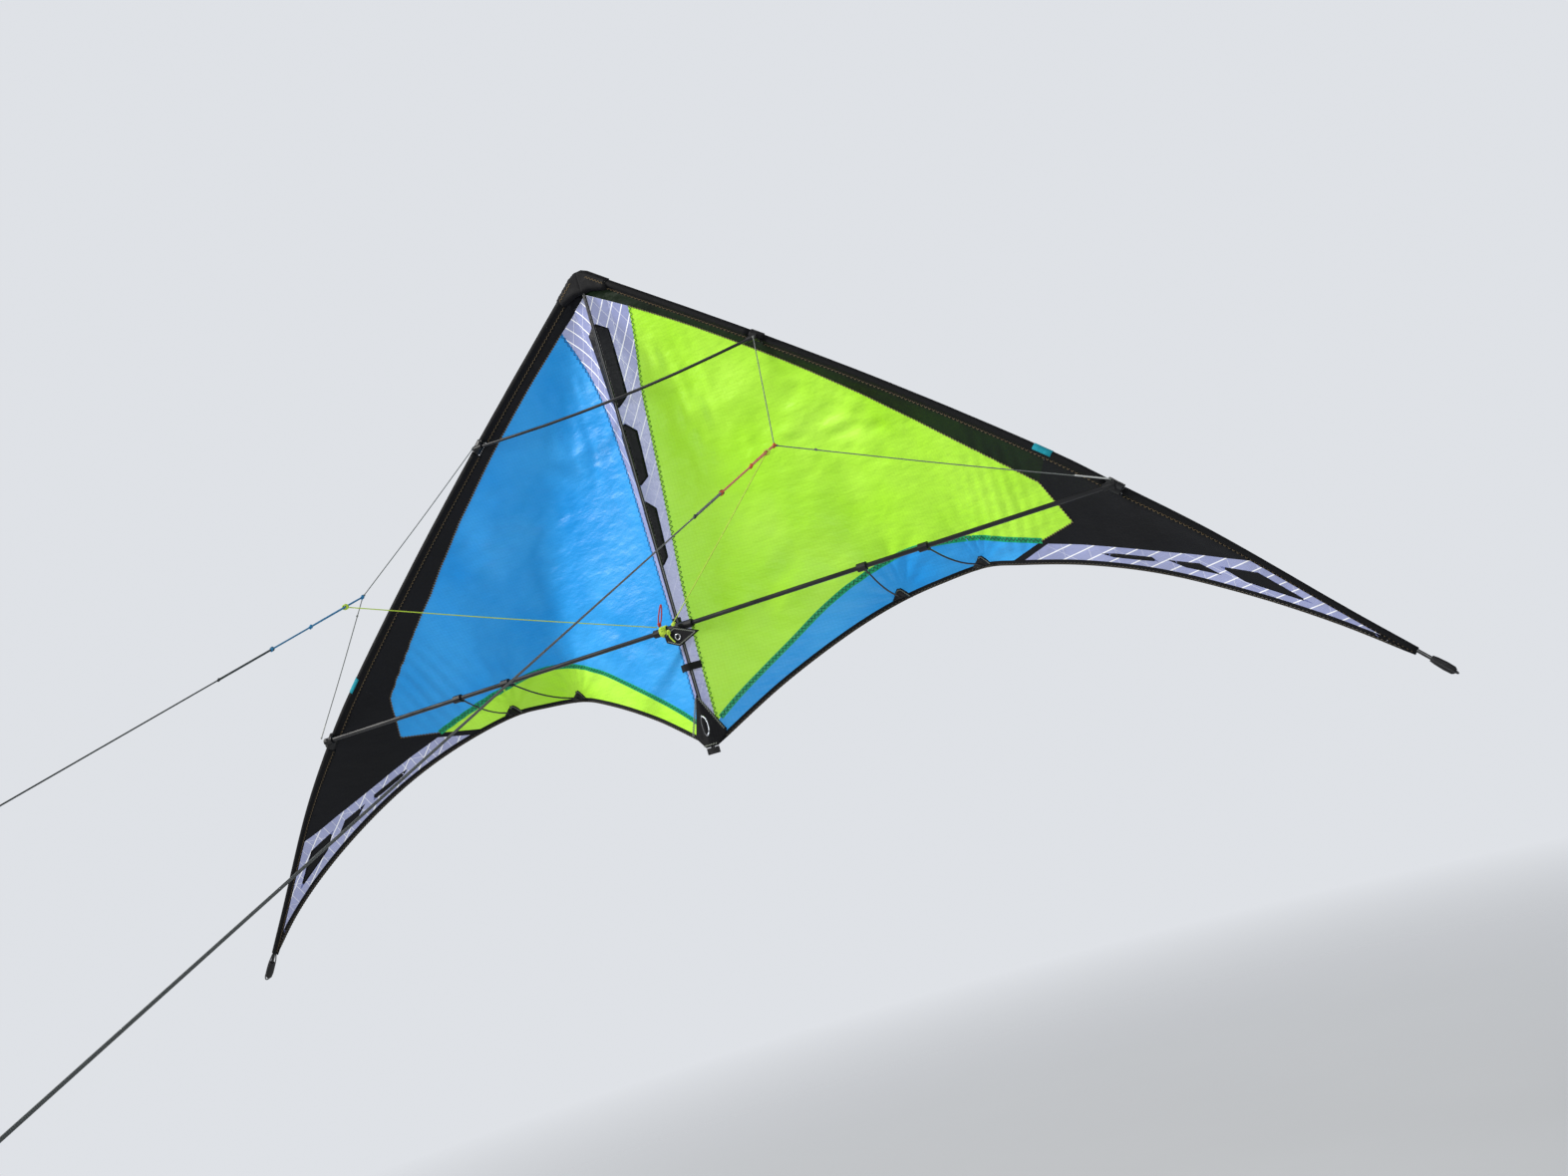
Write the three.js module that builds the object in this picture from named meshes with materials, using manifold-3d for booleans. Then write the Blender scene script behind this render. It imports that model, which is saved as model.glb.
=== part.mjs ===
// Two-line delta sport kite, rigged for flight: carbon frame, two billowed half sails, bridle and lines.
// Millimetres. X runs to the wing tips, Y points back through the sail, Z runs up the spine to the nose.
// The origin is on the spine's axis, where the centre T grips it.
import * as THREE from 'three';
import { mergeVertices } from 'three/addons/utils/BufferGeometryUtils.js';
import Module from 'manifold-3d';

const wasm = await Module();
wasm.setup();

// ---- driving dimensions -------------------------------------------------------------------------
const GAP = 0.4;                    // air between pieces that touch
const SPINE_RADIUS = 2.75;
const SPINE_TOP = 541;
const SPINE_FOOT = -188;
const LEADING_SPAR_RADIUS = 3.5;
const TIP_SPAR_RADIUS = 2.6;
const FERRULE = { inner: 3.8, outer: 4.5, length: 64, x: 600 };
const SLEEVE = { inner: 4.9, outer: 6.5 };
const LOWER_SPREADER_RADIUS = 3.5;
const UPPER_SPREADER_RADIUS = 2.3;
const SPREADER_Y = -16;             // the lower spreaders' axis where they enter the centre T
const SPREADER_TIP = { x: 690, y: -7, z: 1 };
const UPPER_TIP = { x: 247, y: -9, z: 367 };
const UPPER_SAG = 9;                // how far the upper spreader bows down where it crosses the spine
const UPPER_CONNECTOR_X = 259;      // stations of the two connectors along the leading edge
const LOWER_CONNECTOR_X = 702.5;
const SLEEVE_START_X = 27;
const SLEEVE_END_X = 1003;
const NOCK = { length: 34, radius: 5.4, bore: 3.1, start: 20 };
const WHISKER_RADIUS = 1.3;
const BRIDLE_RADIUS = 0.75;
const PIGTAIL_RADIUS = 1.2;
const LINE_RADIUS = 0.9;
const SAIL_THICKNESS = 1.2;
const SAIL_DROP = 11.6;             // from the leading spar's axis straight down to the sail's edge
const SAIL_START_X = 5;
const SAIL_END_X = 955;

// Leading spar axis of the +X wing, nose to tip.
const LEADING_EDGE = [
  [22, 0, 547], [256, 0, 372], [459, 1, 212], [643, 3, 56], [702, 5, 0], [802, 19, -97], [943, 50, -253],
  [1040, 73, -358],
];

// Trailing edge of the +X half sail, keel to tip: two scallops between the stand-offs, then one long curve.
const TRAILING_EDGE = [
  [0, 4, -186], [12, 9, -180], [115, 60, -123], [228, 115, -75], [300, 150, -54], [370, 152, -46],
  [436, 158, -43], [500, 126, -56], [602, 104, -85], [707, 88, -128], [822, 68, -192], [920, 60, -258],
  [1006, 65, -327],
];

// Stand-offs: station on the lower spreader, and where the whisker meets the sail.
const STANDOFFS = [
  { name: 'inner', spreaderX: 322, foot: [300, 138, -47] },
  { name: 'outer', spreaderX: 420, foot: [436, 138, -37] },
];

// Bridle: tow point of the +X side, direction of pull, and lengths along the pull.
const TOW = [357, -251, 169];
const PULL = new THREE.Vector3(0.267, -0.938, -0.219).normalize();
const INHAUL_STATION = 73;
const PIGTAIL_LENGTH = { left: 344, right: 427 };
const LINE_REACH = { left: 1060, right: 1960 };
const LOOP_LENGTH = 40;

// ---- materials ----------------------------------------------------------------------------------
const material = (color, roughness, metalness = 0) =>
  new THREE.MeshStandardMaterial({ color, roughness, metalness });
const CARBON = material(0x141416, 0.35);
const MOULDED = material(0x0d0d0e, 0.5);
const WEBBING = material(0x101012, 0.85);
const RIPSTOP = { left: material(0x1d8fdc, 0.6), right: material(0xbdf24a, 0.6) };
const TEAL = material(0x1499a2, 0.7);
const ALUMINIUM = material(0xb8bcc0, 0.35, 1);
const LIME_CORD = material(0xbfe63a, 0.8);
const RED_CORD = material(0xb02418, 0.8);
const BRIDLE_CORD = material(0x8d948c, 0.8);
const PIGTAIL_CORD = { left: material(0x1c6f9c, 0.8), right: material(0xc8511c, 0.8) };
const FLYING_LINE = material(0x1c2b2c, 0.8);
const BUNGEE = material(0x2b2b2e, 0.8);

// ---- shape helpers ------------------------------------------------------------------------------
const kite = new THREE.Group();

function add(name, geometry, surface) {
  const mesh = new THREE.Mesh(geometry, surface);
  mesh.name = name;
  kite.add(mesh);
  return mesh;
}

const vec = ([x, y, z], side = 1) => new THREE.Vector3(side * x, y, z);

function ringShape(outer, inner, sides) {
  const circle = (radius) => Array.from({ length: sides }, (_, i) => {
    const angle = (2 * Math.PI * i) / sides;
    return new THREE.Vector2(radius * Math.cos(angle), radius * Math.sin(angle));
  });
  const shape = new THREE.Shape(circle(outer));
  if (inner > 0) shape.holes.push(new THREE.Path(circle(inner)));
  return shape;
}

// A rod, hose or cord along a smooth curve, with flat closed ends.
function rod(points, radius, { inner = 0, sides = 12, steps = 1 } = {}) {
  const path = points.length === 2
    ? new THREE.LineCurve3(points[0], points[1])
    : new THREE.CatmullRomCurve3(points, false, 'centripetal');
  const options = { extrudePath: path, steps, bevelEnabled: false };
  return new THREE.ExtrudeGeometry(ringShape(radius, inner, sides), options);
}

function solid(geometry) {
  const bare = geometry.clone();
  bare.deleteAttribute('normal');
  bare.deleteAttribute('uv');
  const merged = mergeVertices(bare, 1e-4);
  return new wasm.Manifold(new wasm.Mesh({
    numProp: 3,
    vertProperties: new Float32Array(merged.attributes.position.array),
    triVerts: new Uint32Array(merged.index.array),
  }));
}

function geometryOf(manifold) {
  const mesh = manifold.getMesh();
  const geometry = new THREE.BufferGeometry();
  geometry.setAttribute('position', new THREE.BufferAttribute(new Float32Array(mesh.vertProperties), 3));
  geometry.setIndex(new THREE.BufferAttribute(new Uint32Array(mesh.triVerts), 1));
  geometry.computeVertexNormals();
  return geometry;
}

// Joins the first list of geometries, then cuts the second list from them.
function carve(joined, cut = []) {
  const whole = joined.map(solid).reduce((sum, piece) => sum.add(piece));
  return geometryOf(cut.map(solid).reduce((rest, tool) => rest.subtract(tool), whole));
}

function box(size, centre) {
  return new THREE.BoxGeometry(...size).translate(...centre);
}

// A flat outline in the XZ plane, given thickness along Y starting at the y of its front.
function plate(outline, front, thickness) {
  const shape = new THREE.Shape(outline.map(([x, z]) => new THREE.Vector2(x, z)));
  return new THREE.ExtrudeGeometry(shape, { depth: thickness, bevelEnabled: false })
    .rotateX(Math.PI / 2)
    .translate(0, front + thickness, 0);
}

// ---- curves of one wing -------------------------------------------------------------------------
const edgeCurve = (places, side) =>
  new THREE.CatmullRomCurve3(places.map((p) => vec(p, side)), false, 'centripetal');
const leadingCurve = (side) => edgeCurve(LEADING_EDGE, side);
const trailingCurve = (side) => edgeCurve(TRAILING_EDGE, side);

// Parameter where a curve reaches the distance x from the spine.
function stationAt(curve, x) {
  let [low, high] = [0, 1];
  for (let i = 0; i < 30; i++) {
    const middle = (low + high) / 2;
    if (Math.abs(curve.getPoint(middle).x) < x) low = middle;
    else high = middle;
  }
  return low;
}

function stretch(curve, fromX, toX, pieces) {
  const [from, to] = [stationAt(curve, fromX), stationAt(curve, toX)];
  return Array.from({ length: pieces + 1 }, (_, i) => curve.getPoint(from + ((to - from) * i) / pieces));
}

// Distance along the leading edge turned into a change of x, for short lengths.
function along(curve, x, distance) {
  const tangent = curve.getTangent(stationAt(curve, x));
  return x + distance * Math.abs(tangent.x);
}

// ---- spine and centre ---------------------------------------------------------------------------
function buildSpine() {
  const spineEnds = [vec([0, 0, SPINE_FOOT]), vec([0, 0, SPINE_TOP])];
  add('spine_rod', rod(spineEnds, SPINE_RADIUS, { sides: 16 }), CARBON);

  const nose = [[-9, 563], [9, 563], [19, 552], [15, 542], [8, 533], [-8, 533], [-15, 542], [-19, 552]];
  const pocket = rod([vec([0, 0, 520]), vec([0, 0, SPINE_TOP + GAP])], SPINE_RADIUS + GAP, { sides: 16 });
  add('nose_webbing', carve([plate(nose, -6, 12)], [pocket]), WEBBING);

  const hub = rod([vec([0, 0, -15]), vec([0, 0, 15])], 6.6, { sides: 16 });
  const bar = rod([vec([-34, SPREADER_Y, 0]), vec([34, SPREADER_Y, 0])], 6.2, { sides: 16 });
  const web = box([16, 16, 12], [0, -9, 0]);
  const spineBore = rod([vec([0, 0, -20]), vec([0, 0, 20])], SPINE_RADIUS + GAP, { sides: 16 });
  const socket = (side) => {
    const ends = [6, 40].map((reach) => vec([side * reach, SPREADER_Y, 0]));
    return rod(ends, LOWER_SPREADER_RADIUS + GAP, { sides: 16 });
  };
  const sockets = [socket(-1), socket(1)];
  add('centre_t', carve([hub, bar, web], [spineBore, ...sockets]), MOULDED);

  const wrapEnds = [vec([-21, SPREADER_Y, 0]), vec([-10.5, SPREADER_Y, 0])];
  const wrap = rod(wrapEnds, 8.4, { inner: 6.2 + GAP, sides: 20 });
  add('inhaul_hitch', wrap, LIME_CORD);

  const loop = new THREE.TorusGeometry(6, 1.1, 6, 16).scale(0.45, 2.4, 1).rotateX(Math.PI / 2);
  add('pull_loop', loop.translate(-16, SPREADER_Y, 27), RED_CORD);

  const strap = [[-17, 8.5], [-5.5, -2.6], [-3.6, -4.9], [3.6, -4.9], [5.5, -2.6], [17, 8.5],
    [17, 6.5], [6.5, -4], [4.4, -6.6], [-4.4, -6.6], [-6.5, -4], [-17, 6.5]];
  const band = new THREE.Shape(strap.map(([x, y]) => new THREE.Vector2(x, y - 3)));
  const strapGeometry = new THREE.ExtrudeGeometry(band, { depth: 10, bevelEnabled: false });
  add('spine_strap', strapGeometry.translate(0, 0, -66), WEBBING);

  const tentHalf = (side) => {
    const corners = [[0, -7.2, -105], [27, 7, -165], [11, 0.5, -184], [0, -7.2, -184]];
    return corners.map((p) => vec(p, side));
  };
  add('tail_webbing', tent(tentHalf(1), tentHalf(-1), 2.2), WEBBING);

  const block = box([17, 9, 10], [0, -0.4, -191]);
  const foot = rod([vec([0, 0, SPINE_FOOT - GAP]), vec([0, 0, -170])], SPINE_RADIUS + GAP, { sides: 16 });
  add('tail_cap', carve([block], [foot]), MOULDED);
}

// Two flat flaps that meet along the spine like a ridge tent, thick along Y.
function tent(right, left, thickness) {
  const front = [right[0], right[1], right[2], right[3], left[2], left[1]];
  const count = front.length;
  const back = front.map((p) => p.clone().setY(p.y + thickness));
  const positions = [...front, ...back].flatMap((p) => [p.x, p.y, p.z]);
  const face = [[0, 3, 2], [0, 2, 1], [0, 5, 4], [0, 4, 3]];
  const triangles = face.flatMap(([a, b, c]) => [a, b, c, a + count, c + count, b + count]);
  for (let i = 0; i < count; i++) {
    const next = (i + 1) % count;
    triangles.push(i, next, next + count, i, next + count, i + count);
  }
  const geometry = new THREE.BufferGeometry();
  geometry.setAttribute('position', new THREE.BufferAttribute(new Float32Array(positions), 3));
  geometry.setIndex(triangles);
  geometry.computeVertexNormals();
  return geometry;
}

// ---- spreaders and stand-offs -------------------------------------------------------------------
function buildUpperSpreader() {
  const bow = [-1, -0.5, 0, 0.5, 1].map((t) => new THREE.Vector3(
    t * UPPER_TIP.x, UPPER_TIP.y, UPPER_TIP.z - UPPER_SAG * (1 - t * t)));
  add('upper_spreader', rod(bow, UPPER_SPREADER_RADIUS, { sides: 10, steps: 8 }), CARBON);
}

function spreaderPoint(x, side) {
  const t = (x - 6) / (SPREADER_TIP.x - 6);
  return vec([x, SPREADER_Y + t * (SPREADER_TIP.y - SPREADER_Y), t * SPREADER_TIP.z], side);
}

function buildSpreader(side, tag) {
  const ends = [spreaderPoint(6 + GAP, side), spreaderPoint(SPREADER_TIP.x, side)];
  add(`lower_spreader_${tag}`, rod(ends, LOWER_SPREADER_RADIUS, { sides: 16 }), CARBON);
  for (const standoff of STANDOFFS) {
    const centre = spreaderPoint(standoff.spreaderX, side);
    const axis = spreaderPoint(standoff.spreaderX + 1, side).sub(centre).normalize();
    const foot = vec(standoff.foot, side);
    const reach = foot.clone().sub(centre).normalize();
    const span = (direction, from, to) =>
      [from, to].map((distance) => centre.clone().addScaledVector(direction, distance));
    const collar = rod(span(axis, -7, 7), 6.2, { sides: 16 });
    const stub = rod(span(reach, 4.5, 15), 2.9, { sides: 12 });
    const bore = rod(span(axis, -9, 9), LOWER_SPREADER_RADIUS + GAP, { sides: 16 });
    add(`standoff_clamp_${standoff.name}_${tag}`, carve([collar, stub], [bore]), MOULDED);

    const start = centre.clone().addScaledVector(reach, 15 + GAP);
    const bow = new THREE.Vector3(0, 0, -7);
    const bowed = (t) => start.clone().lerp(foot, t).addScaledVector(bow, 4 * t * (1 - t));
    const points = [0, 0.25, 0.5, 0.75, 1].map(bowed);
    add(`whisker_${standoff.name}_${tag}`, rod(points, WHISKER_RADIUS, { sides: 8, steps: 8 }), CARBON);
  }
}

// ---- leading edge -------------------------------------------------------------------------------
function buildLeadingEdge(side, tag) {
  const curve = leadingCurve(side);
  const spar = (name, fromX, toX, radius, steps) =>
    add(`${name}_${tag}`, rod(stretch(curve, fromX, toX, steps), radius, { sides: 10, steps }), CARBON);
  spar('leading_spar_upper', SLEEVE_START_X, FERRULE.x - 0.3, LEADING_SPAR_RADIUS, 7);
  spar('leading_spar_lower', FERRULE.x + 0.3, along(curve, SLEEVE_END_X, 47), TIP_SPAR_RADIUS, 7);

  const half = FERRULE.length / 2;
  const ferruleEnds = stretch(curve, along(curve, FERRULE.x, -half), along(curve, FERRULE.x, half), 2);
  const ferrule = rod(ferruleEnds, FERRULE.outer, { inner: FERRULE.inner, sides: 12, steps: 2 });
  add(`leading_ferrule_${tag}`, ferrule, ALUMINIUM);

  const sleeve = (name, fromX, toX, steps) => add(`${name}_${tag}`,
    rod(stretch(curve, fromX, toX, steps), SLEEVE.outer, { inner: SLEEVE.inner, sides: 10, steps }), WEBBING);
  sleeve('sleeve_upper', SLEEVE_START_X, along(curve, UPPER_CONNECTOR_X, -12), 3);
  sleeve('sleeve_middle', along(curve, UPPER_CONNECTOR_X, 12), along(curve, LOWER_CONNECTOR_X, -13), 7);
  sleeve('sleeve_lower', along(curve, LOWER_CONNECTOR_X, 13), SLEEVE_END_X, 6);

  buildConnector(curve, side, `upper_connector_${tag}`, UPPER_CONNECTOR_X, 10, 7.2, UPPER_TIP, 4.4);
  buildConnector(curve, side, `lower_connector_${tag}`, LOWER_CONNECTOR_X, 11.5, 8.6, SPREADER_TIP, 5.8);
  buildSleeveTab(curve, side, tag);
  buildNock(curve, tag);
}

// A collar on the leading spar with a blind stub that meets the spreader's end.
function buildConnector(curve, side, name, x, halfLength, radius, tip, stubRadius) {
  const u = stationAt(curve, x);
  const centre = curve.getPoint(u);
  const axis = curve.getTangent(u);
  const ends = (reach) => [-reach, reach].map((distance) => centre.clone().addScaledVector(axis, distance));
  const collar = rod(ends(halfLength), radius, { sides: 18 });
  const bore = rod(ends(halfLength + 4), LEADING_SPAR_RADIUS + GAP, { sides: 16 });
  const stubEnds = [tip.x + GAP, x + 4].map((reach) => vec([reach, tip.y, tip.z], side));
  const stub = rod(stubEnds, stubRadius, { sides: 16 });
  add(name, carve([collar, stub], [bore]), MOULDED);
}

// A half ring of tape over the outside of the sleeve.
function buildSleeveTab(curve, side, tag) {
  const u = stationAt(curve, 621);
  const centre = curve.getPoint(u);
  const axis = curve.getTangent(u);
  const outward = new THREE.Vector3(side, 0, 1).projectOnPlane(axis).normalize();
  const ends = [centre.clone().addScaledVector(axis, -15), centre.clone().addScaledVector(axis, 15)];
  const ring = rod(ends, SLEEVE.outer + 1.4, { inner: SLEEVE.outer + 0.5, sides: 20 });
  const keep = new THREE.BoxGeometry(40, 40, 40);
  const turn = new THREE.Matrix4().makeBasis(axis, outward, axis.clone().cross(outward));
  keep.applyMatrix4(turn).translate(...centre.clone().addScaledVector(outward, 20).toArray());
  add(`sleeve_tab_${tag}`, geometryOf(solid(ring).intersect(solid(keep))), TEAL);
}

function buildNock(curve, tag) {
  const u = stationAt(curve, SLEEVE_END_X);
  const end = curve.getPoint(u);
  const axis = curve.getTangent(u);
  const profile = [[NOCK.bore, 0], [4.3, 0], [NOCK.radius, 7], [6.1, 20], [5.6, 31], [3.5, NOCK.length],
    [0, NOCK.length], [0, 31], [NOCK.bore, 31], [NOCK.bore, 0]];
  const body = new THREE.LatheGeometry(profile.map(([r, z]) => new THREE.Vector2(r, z)), 12);
  const turn = new THREE.Quaternion().setFromUnitVectors(new THREE.Vector3(0, 1, 0), axis);
  const start = end.clone().addScaledVector(axis, NOCK.start);
  body.applyQuaternion(turn).translate(...start.toArray());
  add(`tip_nock_${tag}`, body, MOULDED);

  const across = new THREE.Vector3(0, 1, 0).projectOnPlane(axis).normalize();
  const half = [[0.8, 4.2], [20, 8.4], [40, 9], [51, 8.4], [57, 4]];
  const loop = [...half.map(([s, d]) => [s, -d]), ...half.toReversed()];
  const points = loop.map(([s, d]) => end.clone().addScaledVector(axis, s).addScaledVector(across, d));
  add(`tip_bungee_${tag}`, rod(points, 1.1, { sides: 8, steps: 14 }), BUNGEE);
}

// ---- sail ---------------------------------------------------------------------------------------
// Depth of the billow behind the straight chord, in from the spine (x) and down the chord (v).
function billow(x, v) {
  const across = 31 * (1 - Math.exp(-x / 32)) * Math.max(0, 1 - (x / 450) ** 2) + 5 * Math.min(1, x / 450);
  return across * Math.sin(Math.PI * v ** 0.6) ** 1.5;
}

function sailPoint(leading, trailing, x, v) {
  const top = leading.getPoint(stationAt(leading, Math.max(x, LEADING_EDGE[0][0])));
  const foot = trailing.getPoint(stationAt(trailing, x));
  const topZ = x < SLEEVE_START_X ? 528 - 0.3 * x : top.z - SAIL_DROP;
  const topY = 3.6 + Math.max(0, top.y);
  return [x, topY + (foot.y - topY) * v + billow(x, v), topZ + (foot.z - topZ) * v];
}

function buildSail(side, tag) {
  const [leading, trailing] = [leadingCurve(1), trailingCurve(1)];
  const inner = [SAIL_START_X, 17, 35, 70, 115, 170, 228, 300, 368];
  const stations = [...inner, 436, 500, 560, 620, 700, 780, 870, SAIL_END_X];
  const chords = 9;
  const positions = [];
  for (const offset of [-SAIL_THICKNESS / 2, SAIL_THICKNESS / 2]) {
    for (const x of stations) {
      for (let j = 0; j <= chords; j++) {
        const [px, py, pz] = sailPoint(leading, trailing, x, j / chords);
        positions.push(side * px, py + offset, pz);
      }
    }
  }
  const row = chords + 1;
  const layer = row * stations.length;
  const triangles = [];
  const quad = (a, b, c, d) => triangles.push(...(side > 0 ? [a, b, c, a, c, d] : [a, c, b, a, d, c]));
  for (let i = 0; i < stations.length - 1; i++) {
    for (let j = 0; j < chords; j++) {
      const a = i * row + j;
      quad(a, a + 1, a + row + 1, a + row);
      quad(layer + a, layer + a + row, layer + a + row + 1, layer + a + 1);
    }
    const [top, foot] = [i * row, i * row + chords];
    quad(top, top + row, layer + top + row, layer + top);
    quad(foot, layer + foot, layer + foot + row, foot + row);
  }
  const last = (stations.length - 1) * row;
  for (let j = 0; j < chords; j++) {
    quad(j, layer + j, layer + j + 1, j + 1);
    quad(last + j, last + j + 1, layer + last + j + 1, layer + last + j);
  }
  const geometry = new THREE.BufferGeometry();
  geometry.setAttribute('position', new THREE.BufferAttribute(new Float32Array(positions), 3));
  geometry.setIndex(triangles);
  geometry.computeVertexNormals();
  add(`half_sail_${tag}`, geometry, RIPSTOP[tag]);

  for (const standoff of STANDOFFS) {
    const [x, y, z] = standoff.foot;
    const corners = [[x - 13, z - 4], [x + 13, z - 4], [x, z + 8]].map(([px, pz]) => [side * px, pz]);
    const patch = plate(corners, y + 0.5, 1.6);
    const socket = rod([vec([x, y + 1.2, z], side), vec([x, y + 5, z - 1], side)], 3.4, { sides: 12 });
    add(`sail_fitting_${standoff.name}_${tag}`, carve([patch, socket]), MOULDED);
  }
}

// ---- bridle and flying lines --------------------------------------------------------------------
function cord(name, points, radius, surface, steps = 10) {
  add(name, rod(points, radius, { sides: 8, steps }), surface);
}

function buildBridle(side, tag) {
  const tow = vec(TOW, side);
  const pull = (distance) => tow.clone().addScaledVector(PULL, distance);
  const leg = (from, to, spare) => {
    const start = from.clone().lerp(to, spare / from.distanceTo(to));
    const end = to.clone().lerp(from, spare / from.distanceTo(to));
    return [start, start.clone().lerp(end, 0.5).add(new THREE.Vector3(0, 0, -1.5)), end];
  };
  const upperAnchor = vec([UPPER_CONNECTOR_X + 1, -14.6, 368], side);
  const lowerAnchor = vec([LOWER_CONNECTOR_X + 5, -14.5, 8], side);
  const centreAnchor = vec([side > 0 ? 9 : 16, SPREADER_Y - 13, 7], side);
  cord(`bridle_upper_leg_${tag}`, leg(upperAnchor, tow, 3), BRIDLE_RADIUS, BRIDLE_CORD);
  cord(`bridle_outhaul_${tag}`, leg(lowerAnchor, tow, 3), BRIDLE_RADIUS, BRIDLE_CORD);
  cord(`bridle_inhaul_${tag}`, leg(centreAnchor, pull(INHAUL_STATION), 3), BRIDLE_RADIUS, LIME_CORD);
  cord(`pigtail_${tag}`, [pull(3), pull(PIGTAIL_LENGTH[tag])], PIGTAIL_RADIUS, PIGTAIL_CORD[tag]);
  const lineStart = PIGTAIL_LENGTH[tag] + GAP;
  cord(`flying_line_${tag}`, [pull(lineStart), pull(LINE_REACH[tag])], LINE_RADIUS, FLYING_LINE, 14);

  const across = new THREE.Vector3(0, 0, 1).projectOnPlane(PULL).normalize();
  const upper = [[10, 3.2], [24, 5.4], [35, 4.2]];
  const lower = upper.map(([reach, rise]) => [reach, -rise]).reverse();
  const loop = [[0.6, 0], ...upper, [LOOP_LENGTH, 0], ...lower];
  const points = loop.map(([s, d]) => pull(LINE_REACH[tag] + s).addScaledVector(across, d));
  cord(`line_loop_${tag}`, points, LINE_RADIUS, FLYING_LINE, 16);
}

// ---- assembly -----------------------------------------------------------------------------------
buildSpine();
buildUpperSpreader();
for (const [side, tag] of [[-1, 'left'], [1, 'right']]) {
  buildSpreader(side, tag);
  buildLeadingEdge(side, tag);
  buildSail(side, tag);
  buildBridle(side, tag);
}

export default kite;
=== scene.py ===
import math

import bpy
import numpy as np
from mathutils import Matrix, Vector
from mathutils.geometry import delaunay_2d_cdt


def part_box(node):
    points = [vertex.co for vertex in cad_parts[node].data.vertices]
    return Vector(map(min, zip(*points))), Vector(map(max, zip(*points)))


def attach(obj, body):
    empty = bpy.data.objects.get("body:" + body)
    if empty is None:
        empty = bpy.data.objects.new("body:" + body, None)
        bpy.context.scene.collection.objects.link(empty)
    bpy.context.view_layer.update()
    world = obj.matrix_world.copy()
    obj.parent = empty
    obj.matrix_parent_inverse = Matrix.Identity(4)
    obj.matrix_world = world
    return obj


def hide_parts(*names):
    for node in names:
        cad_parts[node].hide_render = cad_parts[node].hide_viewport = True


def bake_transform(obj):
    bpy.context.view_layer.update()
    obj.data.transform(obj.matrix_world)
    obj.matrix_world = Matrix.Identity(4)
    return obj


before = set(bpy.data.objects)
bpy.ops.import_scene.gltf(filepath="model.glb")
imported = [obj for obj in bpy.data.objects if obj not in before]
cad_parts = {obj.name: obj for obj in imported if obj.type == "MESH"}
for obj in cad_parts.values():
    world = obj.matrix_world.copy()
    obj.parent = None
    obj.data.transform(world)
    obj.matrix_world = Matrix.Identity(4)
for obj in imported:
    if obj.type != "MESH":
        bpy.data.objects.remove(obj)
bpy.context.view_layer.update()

SIDES = ((-1, "left"), (1, "right"))

# ---- places repeated from the part --------------------------------------------------------------
LEADING_EDGE = (
    (0.022, 0, 0.547), (0.256, 0, 0.372), (0.459, 0.001, 0.212), (0.643, 0.003, 0.056),
    (0.702, 0.005, 0), (0.802, 0.019, -0.097), (0.943, 0.050, -0.253), (1.040, 0.073, -0.358),
)
TRAILING_EDGE = (
    (0, 0.004, -0.186), (0.012, 0.009, -0.180), (0.115, 0.060, -0.123), (0.228, 0.115, -0.075),
    (0.300, 0.150, -0.054), (0.370, 0.152, -0.046), (0.436, 0.158, -0.043), (0.500, 0.126, -0.056),
    (0.602, 0.104, -0.085), (0.707, 0.088, -0.128), (0.822, 0.068, -0.192), (0.920, 0.060, -0.258),
    (1.006, 0.065, -0.327),
)
SAIL_DROP = 0.0116              # the sail's upper edge below the leading spar's axis
SAIL_TUCK = 0.0080              # the panels run this near to that axis, inside the sleeve
SAIL_FRONT = 0.0036             # depth of the sail along the spine
SLEEVE_START_X = 0.027
SLEEVE_END_X = 1.003
UPPER_CONNECTOR_X = 0.259
LOWER_CONNECTOR_X = 0.7025
CONNECTOR_GAP = 0.0098          # half the sleeve's opening at a connector
SPREADER_Y = -0.016
FITTINGS = {"inner": (0.300, -0.047), "outer": (0.436, -0.037)}     # (x, z) of the sail fittings
TOW = (0.357, -0.251, 0.169)
PULL = Vector((0.267, -0.938, -0.219)).normalized()
INHAUL_STATION = 0.073          # stations are distances from a tow point along its line
SMALL_KNOT_STATION = 0.205
PIGTAIL_LENGTH = {"left": 0.344, "right": 0.427}
LINE_REACH = {"left": 1.060, "right": 1.960}
LINE_SLEEVING = 0.160
OUTHAUL_SLEEVING = 0.048
BRIDLE_RADIUS = 0.00075
PIGTAIL_RADIUS = 0.0012
LINE_RADIUS = 0.0009
FLOOR_Z = -1.45


# ---- camera -------------------------------------------------------------------------------------
def make_camera():
    place = Vector((1.4155, -2.4632, -0.1874))
    right = Vector((0.85086, 0.44607, -0.27760)).normalized()
    up = Vector((0.27934, 0.06342, 0.95810)).normalized()
    data = bpy.data.cameras.new("camera")
    data.sensor_width, data.lens = 36, 43.48
    camera = bpy.data.objects.new("camera", data)
    turn = Matrix((right, up, right.cross(up))).transposed()
    camera.matrix_world = Matrix.Translation(place) @ turn.to_4x4()
    bpy.context.scene.collection.objects.link(camera)
    bpy.context.scene.camera = camera


make_camera()


# ---- node helpers -------------------------------------------------------------------------------
WAVE_LENGTH = math.pi / 10      # of the wave texture at scale 1


def srgb(red, green, blue):
    """A colour given as the 0-255 values that a picture shows, as linear RGBA."""
    def linear(value):
        value /= 255
        return value / 12.92 if value <= 0.04045 else ((value + 0.055) / 1.055) ** 2.4
    return (linear(red), linear(green), linear(blue), 1)


def scaled(colour, share, extra=0.0):
    return tuple(min(1, c * share + extra) for c in colour[:3]) + (1,)


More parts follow.
